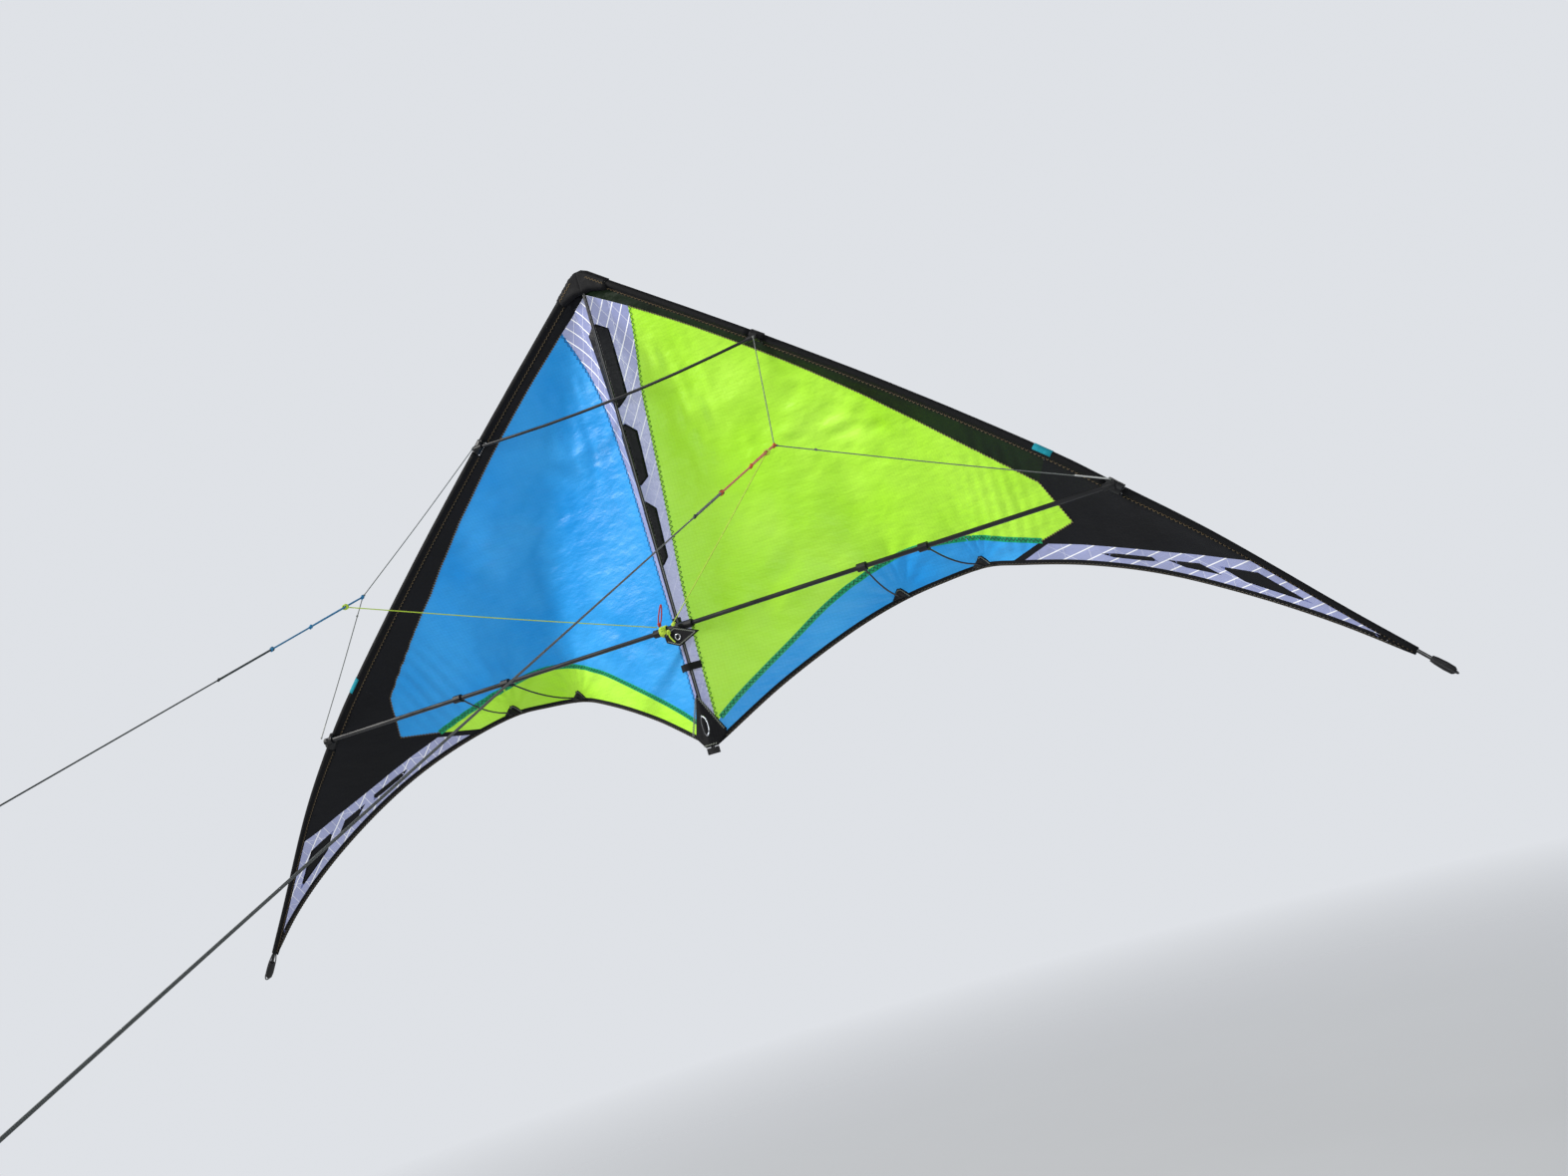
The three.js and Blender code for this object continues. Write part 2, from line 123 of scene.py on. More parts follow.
class Tree:
    """A material's node tree, with one call per node."""

    def __init__(self, name):
        self.material = bpy.data.materials.new(name)
        self.material.use_nodes = True
        self.nodes = self.material.node_tree.nodes
        self.links = self.material.node_tree.links
        self.nodes.clear()
        self.output = self.nodes.new("ShaderNodeOutputMaterial")

    def add(self, kind, inputs=None, **settings):
        node = self.nodes.new("ShaderNode" + kind)
        for name, value in settings.items():
            setattr(node, name, value)
        for name, value in (inputs or {}).items():
            if isinstance(value, bpy.types.NodeSocket):
                self.links.new(value, node.inputs[name])
            else:
                node.inputs[name].default_value = value
        return node

    def uv(self):
        return self.add("TexCoord").outputs["UV"]

    def place(self):
        return self.add("TexCoord").outputs["Object"]

    def mapped(self, vector, turn=0.0, scale=(1, 1, 1)):
        inputs = {"Vector": vector, "Rotation": (0, 0, turn), "Scale": scale}
        return self.add("Mapping", inputs).outputs["Vector"]

    def noise(self, vector, scale, detail=2.0):
        return self.add("TexNoise", {"Vector": vector, "Scale": scale, "Detail": detail}).outputs["Fac"]

    def waves(self, vector, scale):
        return self.add("TexWave", {"Vector": vector, "Scale": scale}, bands_direction="X").outputs["Fac"]

    def grid(self, vector, pitch, line):
        """1 on the lines of a square grid and 0 between them."""
        inputs = {"Vector": vector, "Scale": 1.0, "Mortar Size": line, "Mortar Smooth": 0.3,
                  "Brick Width": pitch, "Row Height": pitch}
        return self.add("TexBrick", inputs, offset=0.0, squash=1.0).outputs["Fac"]

    def stripes(self, vector, heading, period, width):
        """1 on straight lines that run at heading, period apart and width wide, and 0 between them."""
        square = (-math.sin(heading), math.cos(heading), 0)
        across = self.add("VectorMath", {0: vector, 1: square}, operation="DOT_PRODUCT").outputs["Value"]
        share = self.math("FRACT", self.math("DIVIDE", across, period))
        off = self.math("MULTIPLY", self.math("ABSOLUTE", self.math("SUBTRACT", share, 0.5)), period)
        return self.ramp(off, width * 0.35, width * 0.65, 1.0, 0.0)

    def math(self, operation, first, second=0.0):
        node = self.add("Math", {0: first, 1: second}, operation=operation)
        return node.outputs[0]

    def ramp(self, value, low, high, start=0.0, end=1.0):
        inputs = {"Value": value, "From Min": low, "From Max": high, "To Min": start, "To Max": end}
        return self.add("MapRange", inputs).outputs["Result"]

    def mix(self, share, first, second):
        node = self.add("Mix", data_type="RGBA")
        for socket, value in ((node.inputs[0], share), (node.inputs[6], first), (node.inputs[7], second)):
            if isinstance(value, bpy.types.NodeSocket):
                self.links.new(value, socket)
            else:
                socket.default_value = value
        return node.outputs[2]

    def bump(self, height, strength, distance, normal=None):
        inputs = {"Height": height, "Strength": strength, "Distance": distance}
        if normal:
            inputs["Normal"] = normal
        return self.add("Bump", inputs).outputs["Normal"]

    def principled(self, **inputs):
        return self.add("BsdfPrincipled", {name.replace("_", " "): value for name, value in inputs.items()})

    def finish(self, shader):
        self.links.new(shader.outputs[0], self.output.inputs["Surface"])
        return self.material


def ripstop(name, colour, tint, glow=0.3, roughness=0.42, gloss=0.35):
    """Coated nylon with a fine square ripstop grid; light from behind glows through it."""
    t = Tree(name)
    uv = t.uv()
    cells = t.grid(uv, 0.0048, 0.00035)
    cloud = t.noise(uv, 7.0, 4.0)
    fine = t.noise(uv, 700.0, 2.0)
    crinkle = t.noise(t.mapped(uv, 0.5, (1, 1.9, 1)), 30.0, 5.0)
    base = t.mix(t.ramp(cloud, 0.35, 0.7, 0.0, 0.5), colour, tint)
    base = t.mix(t.math("MULTIPLY", cells, 0.2), base, scaled(colour, 0.68))
    base = t.mix(t.ramp(fine, 0.3, 0.75, 0.0, 0.06), base, tint)
    rough = t.ramp(t.math("ADD", cloud, fine), 0.7, 1.3, roughness - 0.06, roughness + 0.10)
    weave = t.math("MULTIPLY", t.waves(uv, 620.0), t.waves(t.mapped(uv, math.pi / 2), 620.0))
    normal = t.bump(crinkle, 0.6, 0.005)
    normal = t.bump(t.math("ADD", t.math("MULTIPLY", weave, 0.3), cells), 0.25, 0.0003, normal)
    cloth = t.principled(Base_Color=base, Roughness=rough, Normal=normal, Specular_IOR_Level=gloss)
    through = t.add("BsdfTranslucent", {"Color": base, "Normal": normal})
    return t.finish(t.add("MixShader", {0: glow, 1: cloth.outputs[0], 2: through.outputs[0]}))


def laminate(name, heavy, fine, cross, faded=-2.0, full=-1.0):
    """Clear polyester film over a scrim of threads.

    heavy, fine and cross are (heading in degrees, spacing, width). The scrim is clear to see above the
    height full and nearly gone below faded."""
    t = Tree(name)
    uv = t.uv()
    bold, thin, thinnest = (t.stripes(uv, math.radians(heading), spacing, width)
                            for heading, spacing, width in (heavy, fine, cross))
    haze = t.noise(uv, 14.0, 4.0)
    faint = t.math("MULTIPLY", t.math("MAXIMUM", thin, thinnest), t.ramp(haze, 0.3, 0.6, 0.25, 0.75))
    high = t.ramp(t.add("SeparateXYZ", {0: uv}).outputs[1], faded, full, 0.12, 1.0)
    threads = t.math("MULTIPLY", t.math("MAXIMUM", bold, faint), high)
    # The clear film's lilac-blue is painted sky light seen through the film.
    film = t.mix(t.ramp(haze, 0.3, 0.7), srgb(104, 114, 172), srgb(134, 142, 196))
    base = t.mix(threads, film, srgb(250, 250, 253))
    crinkle = t.noise(t.mapped(uv, 0.9, (1, 2.2, 1)), 45.0, 4.0)
    normal = t.bump(threads, 0.5, 0.0002, t.bump(crinkle, 0.5, 0.003))
    see = t.ramp(threads, 0.0, 1.0, 0.78, 0.97)
    rough = t.ramp(haze, 0.3, 0.7, 0.18, 0.32)
    return t.finish(t.principled(Base_Color=base, Roughness=rough, Normal=normal, Alpha=see,
                                 Specular_IOR_Level=0.35))


def webbing(name, colour, worn, coords="uv", pitch=0.0011):
    """Woven tape: a herringbone of two crossing ribs, a little greyed where it rubs."""
    t = Tree(name)
    where = t.uv() if coords == "uv" else t.place()
    ribs = t.waves(t.mapped(where, 0.75), WAVE_LENGTH / pitch)
    cross = t.waves(t.mapped(where, -0.75), WAVE_LENGTH / pitch)
    weave = t.math("MAXIMUM", ribs, cross)
    wear = t.noise(where, 70.0, 5.0)
    base = t.mix(t.ramp(wear, 0.5, 0.8, 0.0, 0.6), colour, worn)
    base = t.mix(t.math("MULTIPLY", weave, 0.25), base, worn)
    normal = t.bump(weave, 0.6, 0.0003, t.bump(wear, 0.25, 0.0006))
    rough = t.ramp(wear, 0.3, 0.7, 0.62, 0.85)
    return t.finish(t.principled(Base_Color=base, Roughness=rough, Normal=normal, Specular_IOR_Level=0.15))


def moulded(name, colour, worn, roughness=0.42):
    """Spark-eroded moulded nylon, polished a little on its corners."""
    t = Tree(name)
    where = t.place()
    grain = t.noise(where, 1500.0, 2.0)
    scuff = t.noise(where, 90.0, 5.0)
    base = t.mix(t.ramp(scuff, 0.5, 0.78, 0.0, 0.6), colour, worn)
    rough = t.ramp(scuff, 0.3, 0.7, roughness - 0.08, roughness + 0.14)
    normal = t.bump(grain, 0.25, 0.0002, t.bump(scuff, 0.15, 0.0005))
    return t.finish(t.principled(Base_Color=base, Roughness=rough, Normal=normal, Specular_IOR_Level=0.35))


def carbon():
    """Pultruded carbon rod: fine lengthwise fibres under a thin clear coat, dulled in handled patches."""
    t = Tree("carbon_rod")
    where = t.place()
    fibres = t.noise(t.mapped(where, 0.0, (6, 260, 260)), 8.0, 3.0)
    handled = t.noise(where, 16.0, 4.0)
    base = t.mix(t.ramp(fibres, 0.35, 0.7), srgb(9, 9, 11), srgb(24, 25, 28))
    base = t.mix(t.ramp(handled, 0.55, 0.8, 0.0, 0.35), base, srgb(38, 38, 40))
    rough = t.ramp(handled, 0.3, 0.7, 0.24, 0.42)
    return t.finish(t.principled(Base_Color=base, Roughness=rough, Normal=t.bump(fibres, 0.2, 0.0002),
                                 Specular_IOR_Level=0.4, Coat_Weight=0.15, Coat_Roughness=0.2))


def brushed_aluminium():
    t = Tree("ferrule_aluminium")
    where = t.place()
    brush = t.noise(t.mapped(where, 0.7, (12, 400, 400)), 10.0, 3.0)
    base = t.mix(brush, srgb(150, 153, 158), srgb(206, 208, 212))
    rough = t.ramp(brush, 0.3, 0.7, 0.25, 0.45)
    return t.finish(t.principled(Base_Color=base, Roughness=rough, Metallic=1.0,
                                 Normal=t.bump(brush, 0.2, 0.0002)))


def braid(name, colour, shade, strands=4, pitch=0.0026):
    """Braided line: u runs once round the cord and v along it in metres."""
    t = Tree(name)
    split = t.add("SeparateXYZ", {0: t.uv()})
    around = t.math("MULTIPLY", split.outputs[0], 2 * math.pi * strands)
    onward = t.math("MULTIPLY", split.outputs[1], 2 * math.pi / pitch)
    one = t.math("SINE", t.math("ADD", around, onward))
    other = t.math("SINE", t.math("SUBTRACT", around, onward))
    plait = t.math("MULTIPLY", one, other)
    fuzz = t.noise(t.uv(), 700.0, 3.0)
    # The darker shade colour fills the low grooves between the strands, where the bump sinks: painted shade.
    base = t.mix(t.ramp(plait, -1.0, 1.0), shade, colour)
    base = t.mix(t.ramp(fuzz, 0.5, 0.8, 0.0, 0.25), base, scaled(colour, 1.5, 0.05))
    normal = t.bump(t.math("ADD", plait, fuzz), 0.6, 0.0003)
    rough = t.ramp(fuzz, 0.3, 0.7, 0.6, 0.8)
    return t.finish(t.principled(Base_Color=base, Roughness=rough, Normal=normal, Sheen_Weight=0.08))


def thread(name, colour):
    t = Tree(name)
    twist = t.noise(t.place(), 1600.0, 2.0)
    base = t.mix(t.ramp(twist, 0.3, 0.7), scaled(colour, 0.55), colour)
    return t.finish(t.principled(Base_Color=base, Roughness=t.ramp(twist, 0.3, 0.7, 0.5, 0.7),
                                 Normal=t.bump(twist, 0.4, 0.0002)))


BLACK, WORN = srgb(8, 8, 10), srgb(32, 33, 36)
BLUE_CLOTH = ripstop("sail_blue", srgb(24, 144, 222), srgb(78, 182, 246), 0.24)
LIME_CLOTH = ripstop("sail_lime", srgb(168, 232, 44), srgb(200, 250, 92), 0.22)
BLACK_CLOTH = ripstop("sail_black", srgb(7, 8, 12), srgb(16, 18, 25), 0.04, 0.5, 0.2)
# Black cloth of the lime wing's band; its green tinge is painted light glowing through the cloth from the
# lime.
BLACK_WITH_GREEN_GLOW = ripstop("sail_black_green_glow", srgb(8, 12, 10), srgb(30, 62, 18), 0.06, 0.5, 0.2)
# The seam's double layer of blue and lime cloth: its teal is the two cloths' colours mixed by painted light
# passing through both.
SEAM_CLOTH = ripstop("seam_overlap", srgb(10, 158, 104), srgb(34, 190, 124), 0.2)
CENTRE_FILM = laminate("centre_film", (56, 0.0170, 0.0018), (-58, 0.0170, 0.0007), (88, 0.034, 0.0005),
                       faded=0.18, full=0.42)
TIP_FILM = {
    "left": laminate("tip_film_left", (-42, 0.0180, 0.0012), (82, 0.0175, 0.0012), (5.5, 0.0350, 0.0006)),
    "right": laminate("tip_film_right", (5.5, 0.0146, 0.0015), (-42, 0.0400, 0.0005), (82, 0.0400, 0.0005)),
}
TAPE = webbing("edging_tape", BLACK, WORN)
SLEEVE_CLOTH = webbing("sleeve_cloth", srgb(7, 7, 9), srgb(24, 25, 28), pitch=0.0016)
STRAP_CLOTH = webbing("strap_webbing", srgb(9, 9, 11), srgb(36, 36, 39), "place", 0.0014)
TEAL_CLOTH = webbing("teal_tape", srgb(10, 124, 142), srgb(52, 160, 172))
MOULDED = moulded("moulded_black", srgb(9, 9, 11), srgb(34, 35, 38))
CARBON = carbon()
ALUMINIUM = brushed_aluminium()
# Each cord: its own colour, then a darker colour painted as shade in the grooves of its braid.
CORDS = {
    "lime": braid("cord_lime", srgb(214, 244, 70), srgb(140, 172, 24)),
    "red": braid("cord_red", srgb(198, 44, 30), srgb(110, 18, 14)),
    "grey": braid("cord_grey", srgb(128, 132, 128), srgb(66, 70, 70)),
    "blue": braid("cord_blue", srgb(28, 142, 196), srgb(12, 80, 122)),
    "pale": braid("cord_pale", srgb(206, 208, 204), srgb(140, 142, 140)),
    "orange": braid("cord_orange", srgb(222, 92, 26), srgb(138, 44, 12)),
    "dark": braid("cord_dark", srgb(14, 32, 32), srgb(5, 13, 14)),
    "bungee": braid("bungee_black", srgb(40, 40, 44), srgb(14, 14, 16)),
}
BROWN_THREAD = thread("thread_brown", srgb(106, 88, 58))
DARK_THREAD = thread("thread_dark", srgb(74, 66, 52))
GREEN_THREAD = thread("thread_green", srgb(4, 84, 52))
LIME_THREAD = thread("thread_lime", srgb(78, 128, 30))
GREY_THREAD = thread("thread_grey", srgb(122, 126, 116))
BLUE_THREAD = thread("thread_blue", srgb(20, 106, 170))


# ---- mesh helpers -------------------------------------------------------------------------------
def make_mesh(name, points, faces, material, uvs=None, smooth=True):
    """A mesh object. uvs gives one (u, v) a vertex."""
    mesh = bpy.data.meshes.new(name)
    mesh.from_pydata([tuple(map(float, p)) for p in points], [], [list(map(int, f)) for f in faces])
    mesh.materials.append(material)
    if uvs is not None:
        layer = mesh.uv_layers.new(name="UVMap")
        corners = np.zeros(len(mesh.loops), np.int32)
        mesh.loops.foreach_get("vertex_index", corners)
        layer.data.foreach_set("uv", np.asarray(uvs, np.float32)[corners].ravel())
    mesh.polygons.foreach_set("use_smooth", [smooth] * len(mesh.polygons))
    mesh.update()
    made = bpy.data.objects.new(name, mesh)
    bpy.context.scene.collection.objects.link(made)
    return made


def joined(name, parts):
    """One object from several, which keep their materials."""
    base = parts[0]
    with bpy.context.temp_override(active_object=base, selected_editable_objects=parts):
        bpy.ops.object.join()
    base.name = base.data.name = name
    return base


def describe(piece, replaces=()):
    if replaces:
        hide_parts(*replaces)
    return piece


def place_piece(piece, body, replaces=()):
    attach(piece, body)
    return describe(piece, replaces)


def place_all(pieces, body):
    for piece in pieces:
        place_piece(piece, body)


def fold_with_wing(piece, replaces=()):
    """Bakes the piece's place into its mesh and hides the CAD parts that it replaces."""
    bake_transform(piece)
    return describe(piece, replaces)


def rings_to_mesh(name, rings, material, uvs=None, closed=False, caps=True, smooth=True):
    """A skin over equal rings of points; closed joins the last ring to the first."""
    count, size = len(rings), len(rings[0])
    points = [p for ring in rings for p in ring]
    faces = []
    for i in range(count if closed else count - 1):
        a, b = i * size, ((i + 1) % count) * size
        faces += [(a + j, a + (j + 1) % size, b + (j + 1) % size, b + j) for j in range(size)]
    if caps and not closed:
        faces += [tuple(range(size))[::-1], tuple(range((count - 1) * size, count * size))]
    return make_mesh(name, points, faces, material, uvs, smooth)


def angles(count):
    return np.linspace(0, 2 * math.pi, count + 1)[:-1]


def tube(name, path, radius, material, sides=8, closed=False):
    """A round cord along path. UV: u once round, v along in metres."""
    path = [Vector(p) for p in path]
    rings, uvs, run = [], [], 0.0
    side = None
    for i, p in enumerate(path):
        before = path[i - 1] if i or closed else p
        after = path[(i + 1) % len(path)] if i + 1 < len(path) or closed else p
        ahead = (after - before).normalized()
        if side is None:
            side = ahead.orthogonal().normalized()
        side = (side - ahead * side.dot(ahead)).normalized()
        other = ahead.cross(side)
        run += (p - path[i - 1]).length if i else 0
        rings.append([p + (side * math.cos(a) + other * math.sin(a)) * radius for a in angles(sides)])
        uvs += [(k / sides, run) for k in range(sides)]
    return rings_to_mesh(name, rings, material, uvs, closed=closed)


def catmull_rom(points, count):
    """count + 1 points along the centripetal Catmull-Rom curve that the part's edges and cords follow."""
    points = np.asarray(points, float)
    last = len(points) - 1
    out = []
    for t in np.linspace(0, 1, count + 1):
        p = last * t
        i = min(int(p), last - 1)
        w = p - i
        x1, x2 = points[i], points[i + 1]
        x0 = points[i - 1] if i > 0 else 2 * points[0] - points[1]
        x3 = points[i + 2] if i + 2 <= last else 2 * points[last] - points[last - 1]
        d0, d1, d2 = (max(np.sum((b - a) ** 2) ** 0.25, 1e-6) for a, b in ((x0, x1), (x1, x2), (x2, x3)))
        t1 = ((x1 - x0) / d0 - (x2 - x0) / (d0 + d1) + (x2 - x1) / d1) * d1
        t2 = ((x2 - x1) / d1 - (x3 - x1) / (d1 + d2) + (x3 - x2) / d2) * d1
        out.append(x1 + t1 * w + (3 * (x2 - x1) - 2 * t1 - t2) * w * w + (2 * (x1 - x2) + t1 + t2) * w ** 3)
    return np.array(out)


def smoothed(points, count=60):
    return [tuple(p) for p in catmull_rom(points, count)]


class Edge:
    """A wing's edge as places read off by their distance x from the spine."""

    def __init__(self, points):
        self.curve = catmull_rom(points, 2400)

    def at(self, x):
        return tuple(np.interp(x, self.curve[:, 0], self.curve[:, axis]) for axis in (1, 2))

    def between(self, start, end, step=0.006):
        """(x, z) places from start to end along the edge."""
        xs = np.linspace(start, end, max(2, int(abs(end - start) / step)))
        return [(x, float(self.at(x)[1])) for x in xs]


LEADING, TRAILING = Edge(LEADING_EDGE), Edge(TRAILING_EDGE)


# ---- the sail's surface -------------------------------------------------------------------------
LATTICE = np.random.RandomState(11).rand(64, 64)
NOSE_Z = 0.528                  # upper end of the sail at the spine
BELLY = 0.031                   # the greatest billow, beside the spine
BELLY_END_X = 0.45              # outside this the sail is nearly flat
# Folds inside the cloth: depth, the noise's place (u, v) at (x, z), its size, and the middle and reach of
# the area that they fill.
CREASES = (
    (0.0050, lambda x, z: (x + z * 0.4, z * 2.2), 0.030, (0.33, 0.225), (0.13, 0.09)),
    (0.0042, lambda x, z: (x * 2.4, z), 0.034, (0.105, 0.350), (0.06, 0.12)),
    (0.0036, lambda x, z: (x * 0.7 + z, z - x), 0.040, (0.18, 0.02), (0.14, 0.07)),
)
CORNER_FOLDS = (0.0024, 0.022, (0.520, 0.032), (0.062, 0.080))      # depth, pitch, middle, reach
FITTING_RAYS = (0.0036, 13, 0.055)      # depth, rays in a turn and reach of the folds round a fitting


def grain(x, z, size):
    """Smooth seeded noise from -1 to 1, with features about size across."""
    u, v = np.asarray(x) / size + 900, np.asarray(z) / size + 900
    i, j = np.floor(u).astype(int), np.floor(v).astype(int)
    a, b = u - i, v - j
    a, b = a * a * (3 - 2 * a), b * b * (3 - 2 * b)

    def corner(di, dj):
        return LATTICE[(i + di) % 64, (j + dj) % 64]

    low = corner(0, 0) * (1 - a) + corner(1, 0) * a
    high = corner(0, 1) * (1 - a) + corner(1, 1) * a
    return 2 * (low * (1 - b) + high * b) - 1


def bell(x, z, centre, reach):
    return np.exp(-((x - centre[0]) / reach[0]) ** 2 - ((z - centre[1]) / reach[1]) ** 2)


def chord_share(x, z):
    """0 at the sail's leading edge and 1 at its trailing edge, the height between them, and their depths."""
    lead_y, lead_z = LEADING.at(x)
    foot_y, foot_z = TRAILING.at(x)
    top_z = np.where(x < SLEEVE_START_X, NOSE_Z - 0.3 * x, lead_z - SAIL_DROP)
    chord = np.maximum(top_z - foot_z, 1e-5)
    return np.clip((top_z - z) / chord, 0, 1), chord, SAIL_FRONT + np.maximum(0, lead_y), foot_y


def puckers(x, z, share):
    """Small folds of the taut cloth. Only those round the fittings reach its trailing edge."""
    free = np.clip(share * (1 - share) * 9, 0, 1) * np.clip((x - 0.012) / 0.05, 0, 1)
    depth = 0.0014 * grain(x, z, 0.060) + 0.00035 * grain(x * 1.4, z, 0.023)
    deep, pitch, centre, reach = CORNER_FOLDS
    lines = np.sin(2 * np.pi * (x - 0.31 * z) / pitch + 1.6 * grain(x, z, 0.09))
    depth += deep * lines * bell(x, z, centre, reach)
    for deep, place, size, centre, reach in CREASES:
        depth += deep * grain(*place(x, z), size) * bell(x, z, centre, reach)
    depth *= free
    deep, turns, fading = FITTING_RAYS
    for fx, fz in FITTINGS.values():
        away = np.hypot(x - fx, z - fz)
        angle = np.arctan2(z - fz, x - fx)
        rays = np.cos(turns * angle + 1.5 * grain(x, z, 0.05)) * np.exp(-away / fading)
        depth += deep * rays * np.clip(away / 0.02, 0, 1) * np.clip((1 - share) * 8, 0, 1)
    return depth


def sail_y(x, z):
    """Depth of the sail at the place (x, z) of either wing, x taken as a distance from the spine."""
    x, z = np.asarray(x, float), np.asarray(z, float)
    share, chord, top_y, foot_y = chord_share(x, z)
    out = x / BELLY_END_X
    swell = BELLY * (1 - np.exp(-x / 0.032)) * np.maximum(0, 1 - out ** 2) + 0.005 * np.minimum(1, out)
    billow = swell * np.sin(np.pi * share ** 0.6) ** 1.5 * np.clip(chord / 0.09, 0, 1)
    return top_y + (foot_y - top_y) * share + billow + puckers(x, z, share)


def level(x, z):
    """The plane y = 0, for pieces that lie on no surface."""
    return 0 * x


def sail_top(x):
    """The sail's upper edge, tucked in the sleeve."""
    return float(LEADING.at(x)[1]) - SAIL_TUCK


def dense(outline, step):
    """The outline with points at most step apart."""
    out = []
    for a, b in zip(outline, outline[1:] + outline[:1]):
        pieces = max(1, int(math.dist(a, b) / step + 0.999))
        out += [(a[0] + (b[0] - a[0]) * k / pieces, a[1] + (b[1] - a[1]) * k / pieces) for k in range(pieces)]
    return out


def inside_and_reach(points, outline):
    """Whether each point is inside the outline, and its distance to it."""
    inside = np.zeros(len(points), bool)
    reach = np.full(len(points), 1e9)
    px, pz = points[:, 0], points[:, 1]
    for (ax, az), (bx, bz) in zip(outline, outline[1:] + outline[:1]):
        crossing = ((az > pz) != (bz > pz))
        with np.errstate(divide="ignore", invalid="ignore"):
            inside ^= crossing & (px < (bx - ax) * (pz - az) / (bz - az) + ax)
        length = max((bx - ax) ** 2 + (bz - az) ** 2, 1e-14)
        t = np.clip(((px - ax) * (bx - ax) + (pz - az) * (bz - az)) / length, 0, 1)
        reach = np.minimum(reach, np.hypot(px - ax - t * (bx - ax), pz - az - t * (bz - az)))
    return inside, reach


def tessellate(outline, step, side):
    """Flat points, forward faces and each point's distance from the rim for the area inside an outline."""
    rim = dense(outline, step)
    low, high = np.min(rim, 0), np.max(rim, 0)
    columns = np.arange(low[0] + step / 2, high[0], step)
    rows = np.arange(low[1] + step / 2, high[1], step * 0.87)
    field = np.array([(x + (step / 2 if k % 2 else 0), z) for k, z in enumerate(rows) for x in columns])
    inside, reach = inside_and_reach(field, rim)
    field = field[inside & (reach > step * 0.45)]
    everything = [Vector(p) for p in rim] + [Vector(p) for p in field]
    loop = [(i, (i + 1) % len(rim)) for i in range(len(rim))]
    points, _, faces, *_ = delaunay_2d_cdt(everything, loop, [], 1, 1e-6)
    flat = np.array([tuple(p) for p in points])
    faces = [list(f) for f in faces]
    a, b, c = (flat[i] for i in faces[0][:3])
    if ((b[0] - a[0]) * (c[1] - a[1]) - (b[1] - a[1]) * (c[0] - a[0]) > 0) != (side > 0):
        faces = [f[::-1] for f in faces]
    return flat, faces, inside_and_reach(flat, rim)[1]


def raised(flat, depth, side):
    """3-D points for flat (x, z) places of a wing at the given depths."""
    return np.stack([side * flat[:, 0], depth, flat[:, 1]], 1)


def panel(name, outline, side, material, step=0.0065, slant=0.0):
    """A sheet of cloth on the sail's surface, cut to an (x, z) outline of the +X wing.

    Its UV is (x, z); slant adds that share of the depth to x, for a weave that runs on over a deep curve."""
    flat, faces, _ = tessellate(outline, step, side)
    depth = sail_y(flat[:, 0], flat[:, 1])
    weave = flat + np.stack([slant * (depth - SAIL_FRONT), 0 * depth], 1)
    return make_mesh(name, raised(flat, depth, side), faces, material, weave)


def pad(name, outline, side, material, thickness, lift, step=0.003, roundness=0.002):
    """A closed flat piece with rounded edges, its middle layer at y = lift(x, z)."""
    flat, front, reach = tessellate(outline, step, side)
    edge = np.clip(reach / roundness, 0, 1)
    half = thickness / 2 * np.sqrt(1 - (1 - edge) ** 2)
    middle = lift(flat[:, 0], flat[:, 1])
    points = np.concatenate([raised(flat, middle - half, side), raised(flat, middle + half, side)])
    twin = [i if rim else i + len(flat) for i, rim in enumerate(reach < 1e-6)]
    back = [[twin[i] for i in f][::-1] for f in front]
    return make_mesh(name, points, front + back, material, np.concatenate([flat, flat]))


def across(path, i):
    """Unit direction across an (x, z) path at its point i, to the left of travel."""
    a, b = path[max(i - 1, 0)], path[min(i + 1, len(path) - 1)]
    length = max(math.dist(a, b), 1e-9)
    return (-(b[1] - a[1]) / length, (b[0] - a[0]) / length)


def strip(name, path, profile, side, material):
    """Tape along an (x, z) path. profile lists (distance across, height off the sail) round its section."""
    rings, uvs, run = [], [], 0.0
    for i, (x, z) in enumerate(path):
        ox, oz = across(path, i)
        run += math.dist(path[i - 1], path[i]) if i else 0
        ring = []
        for s, h in profile:
            px, pz = x + ox * s, z + oz * s
            ring.append((side * px, float(sail_y(max(px, 0), pz)) + h, pz))
            uvs.append((s + (0.02 if h > 0 else 0), run))
        rings.append(ring)
    return rings_to_mesh(name, rings, material, uvs, smooth=False)


def stretch(path, step):
    """The path again, with points step apart."""
    path = np.asarray(path, float)
    run = np.concatenate([[0], np.cumsum(np.hypot(*np.diff(path, axis=0).T))])
    at = np.linspace(0, run[-1], max(2, int(run[-1] / step) + 1))
    return [(float(np.interp(s, run, path[:, 0])), float(np.interp(s, run, path[:, 1]))) for s in at]


THREAD_WIDTH = 0.00055          # half the width of a stitch, and its height off the cloth
THREAD_HEIGHT = 0.0005


def zigzag(name, path, side, material, swing, pitch, off=0.0006, lift=sail_y):
    """Zigzag stitches along an (x, z) path, thread showing on the front and the back of the cloth."""
    path = stretch(path, pitch / 2)
    corners = []
    for i, (x, z) in enumerate(path):
        ox, oz = across(path, i)
        s = swing if i % 2 else -swing
        corners.append((x + ox * s, z + oz * s))
    xz, rise = [], []
    for a, b in zip(corners, corners[1:]):
        share = THREAD_WIDTH / max(math.dist(a, b), 1e-9)
        nx, nz = -(b[1] - a[1]) * share, (b[0] - a[0]) * share
        for p in (a, b):
            xz += [(p[0] + nx, p[1] + nz), p, (p[0] - nx, p[1] - nz)]
            rise += [off, off + THREAD_HEIGHT, off]
    xz, rise = np.array(xz), np.array(rise)
    depth = lift(np.maximum(xz[:, 0], 0), xz[:, 1])
    points = np.concatenate([raised(xz, depth + sign * rise, side) for sign in (-1, 1)])
    faces = []
    for start in range(0, len(points), 6):
        faces += [(start, start + 1, start + 4, start + 3), (start + 1, start + 2, start + 5, start + 4)]
    return make_mesh(name, points, faces, material, smooth=False)


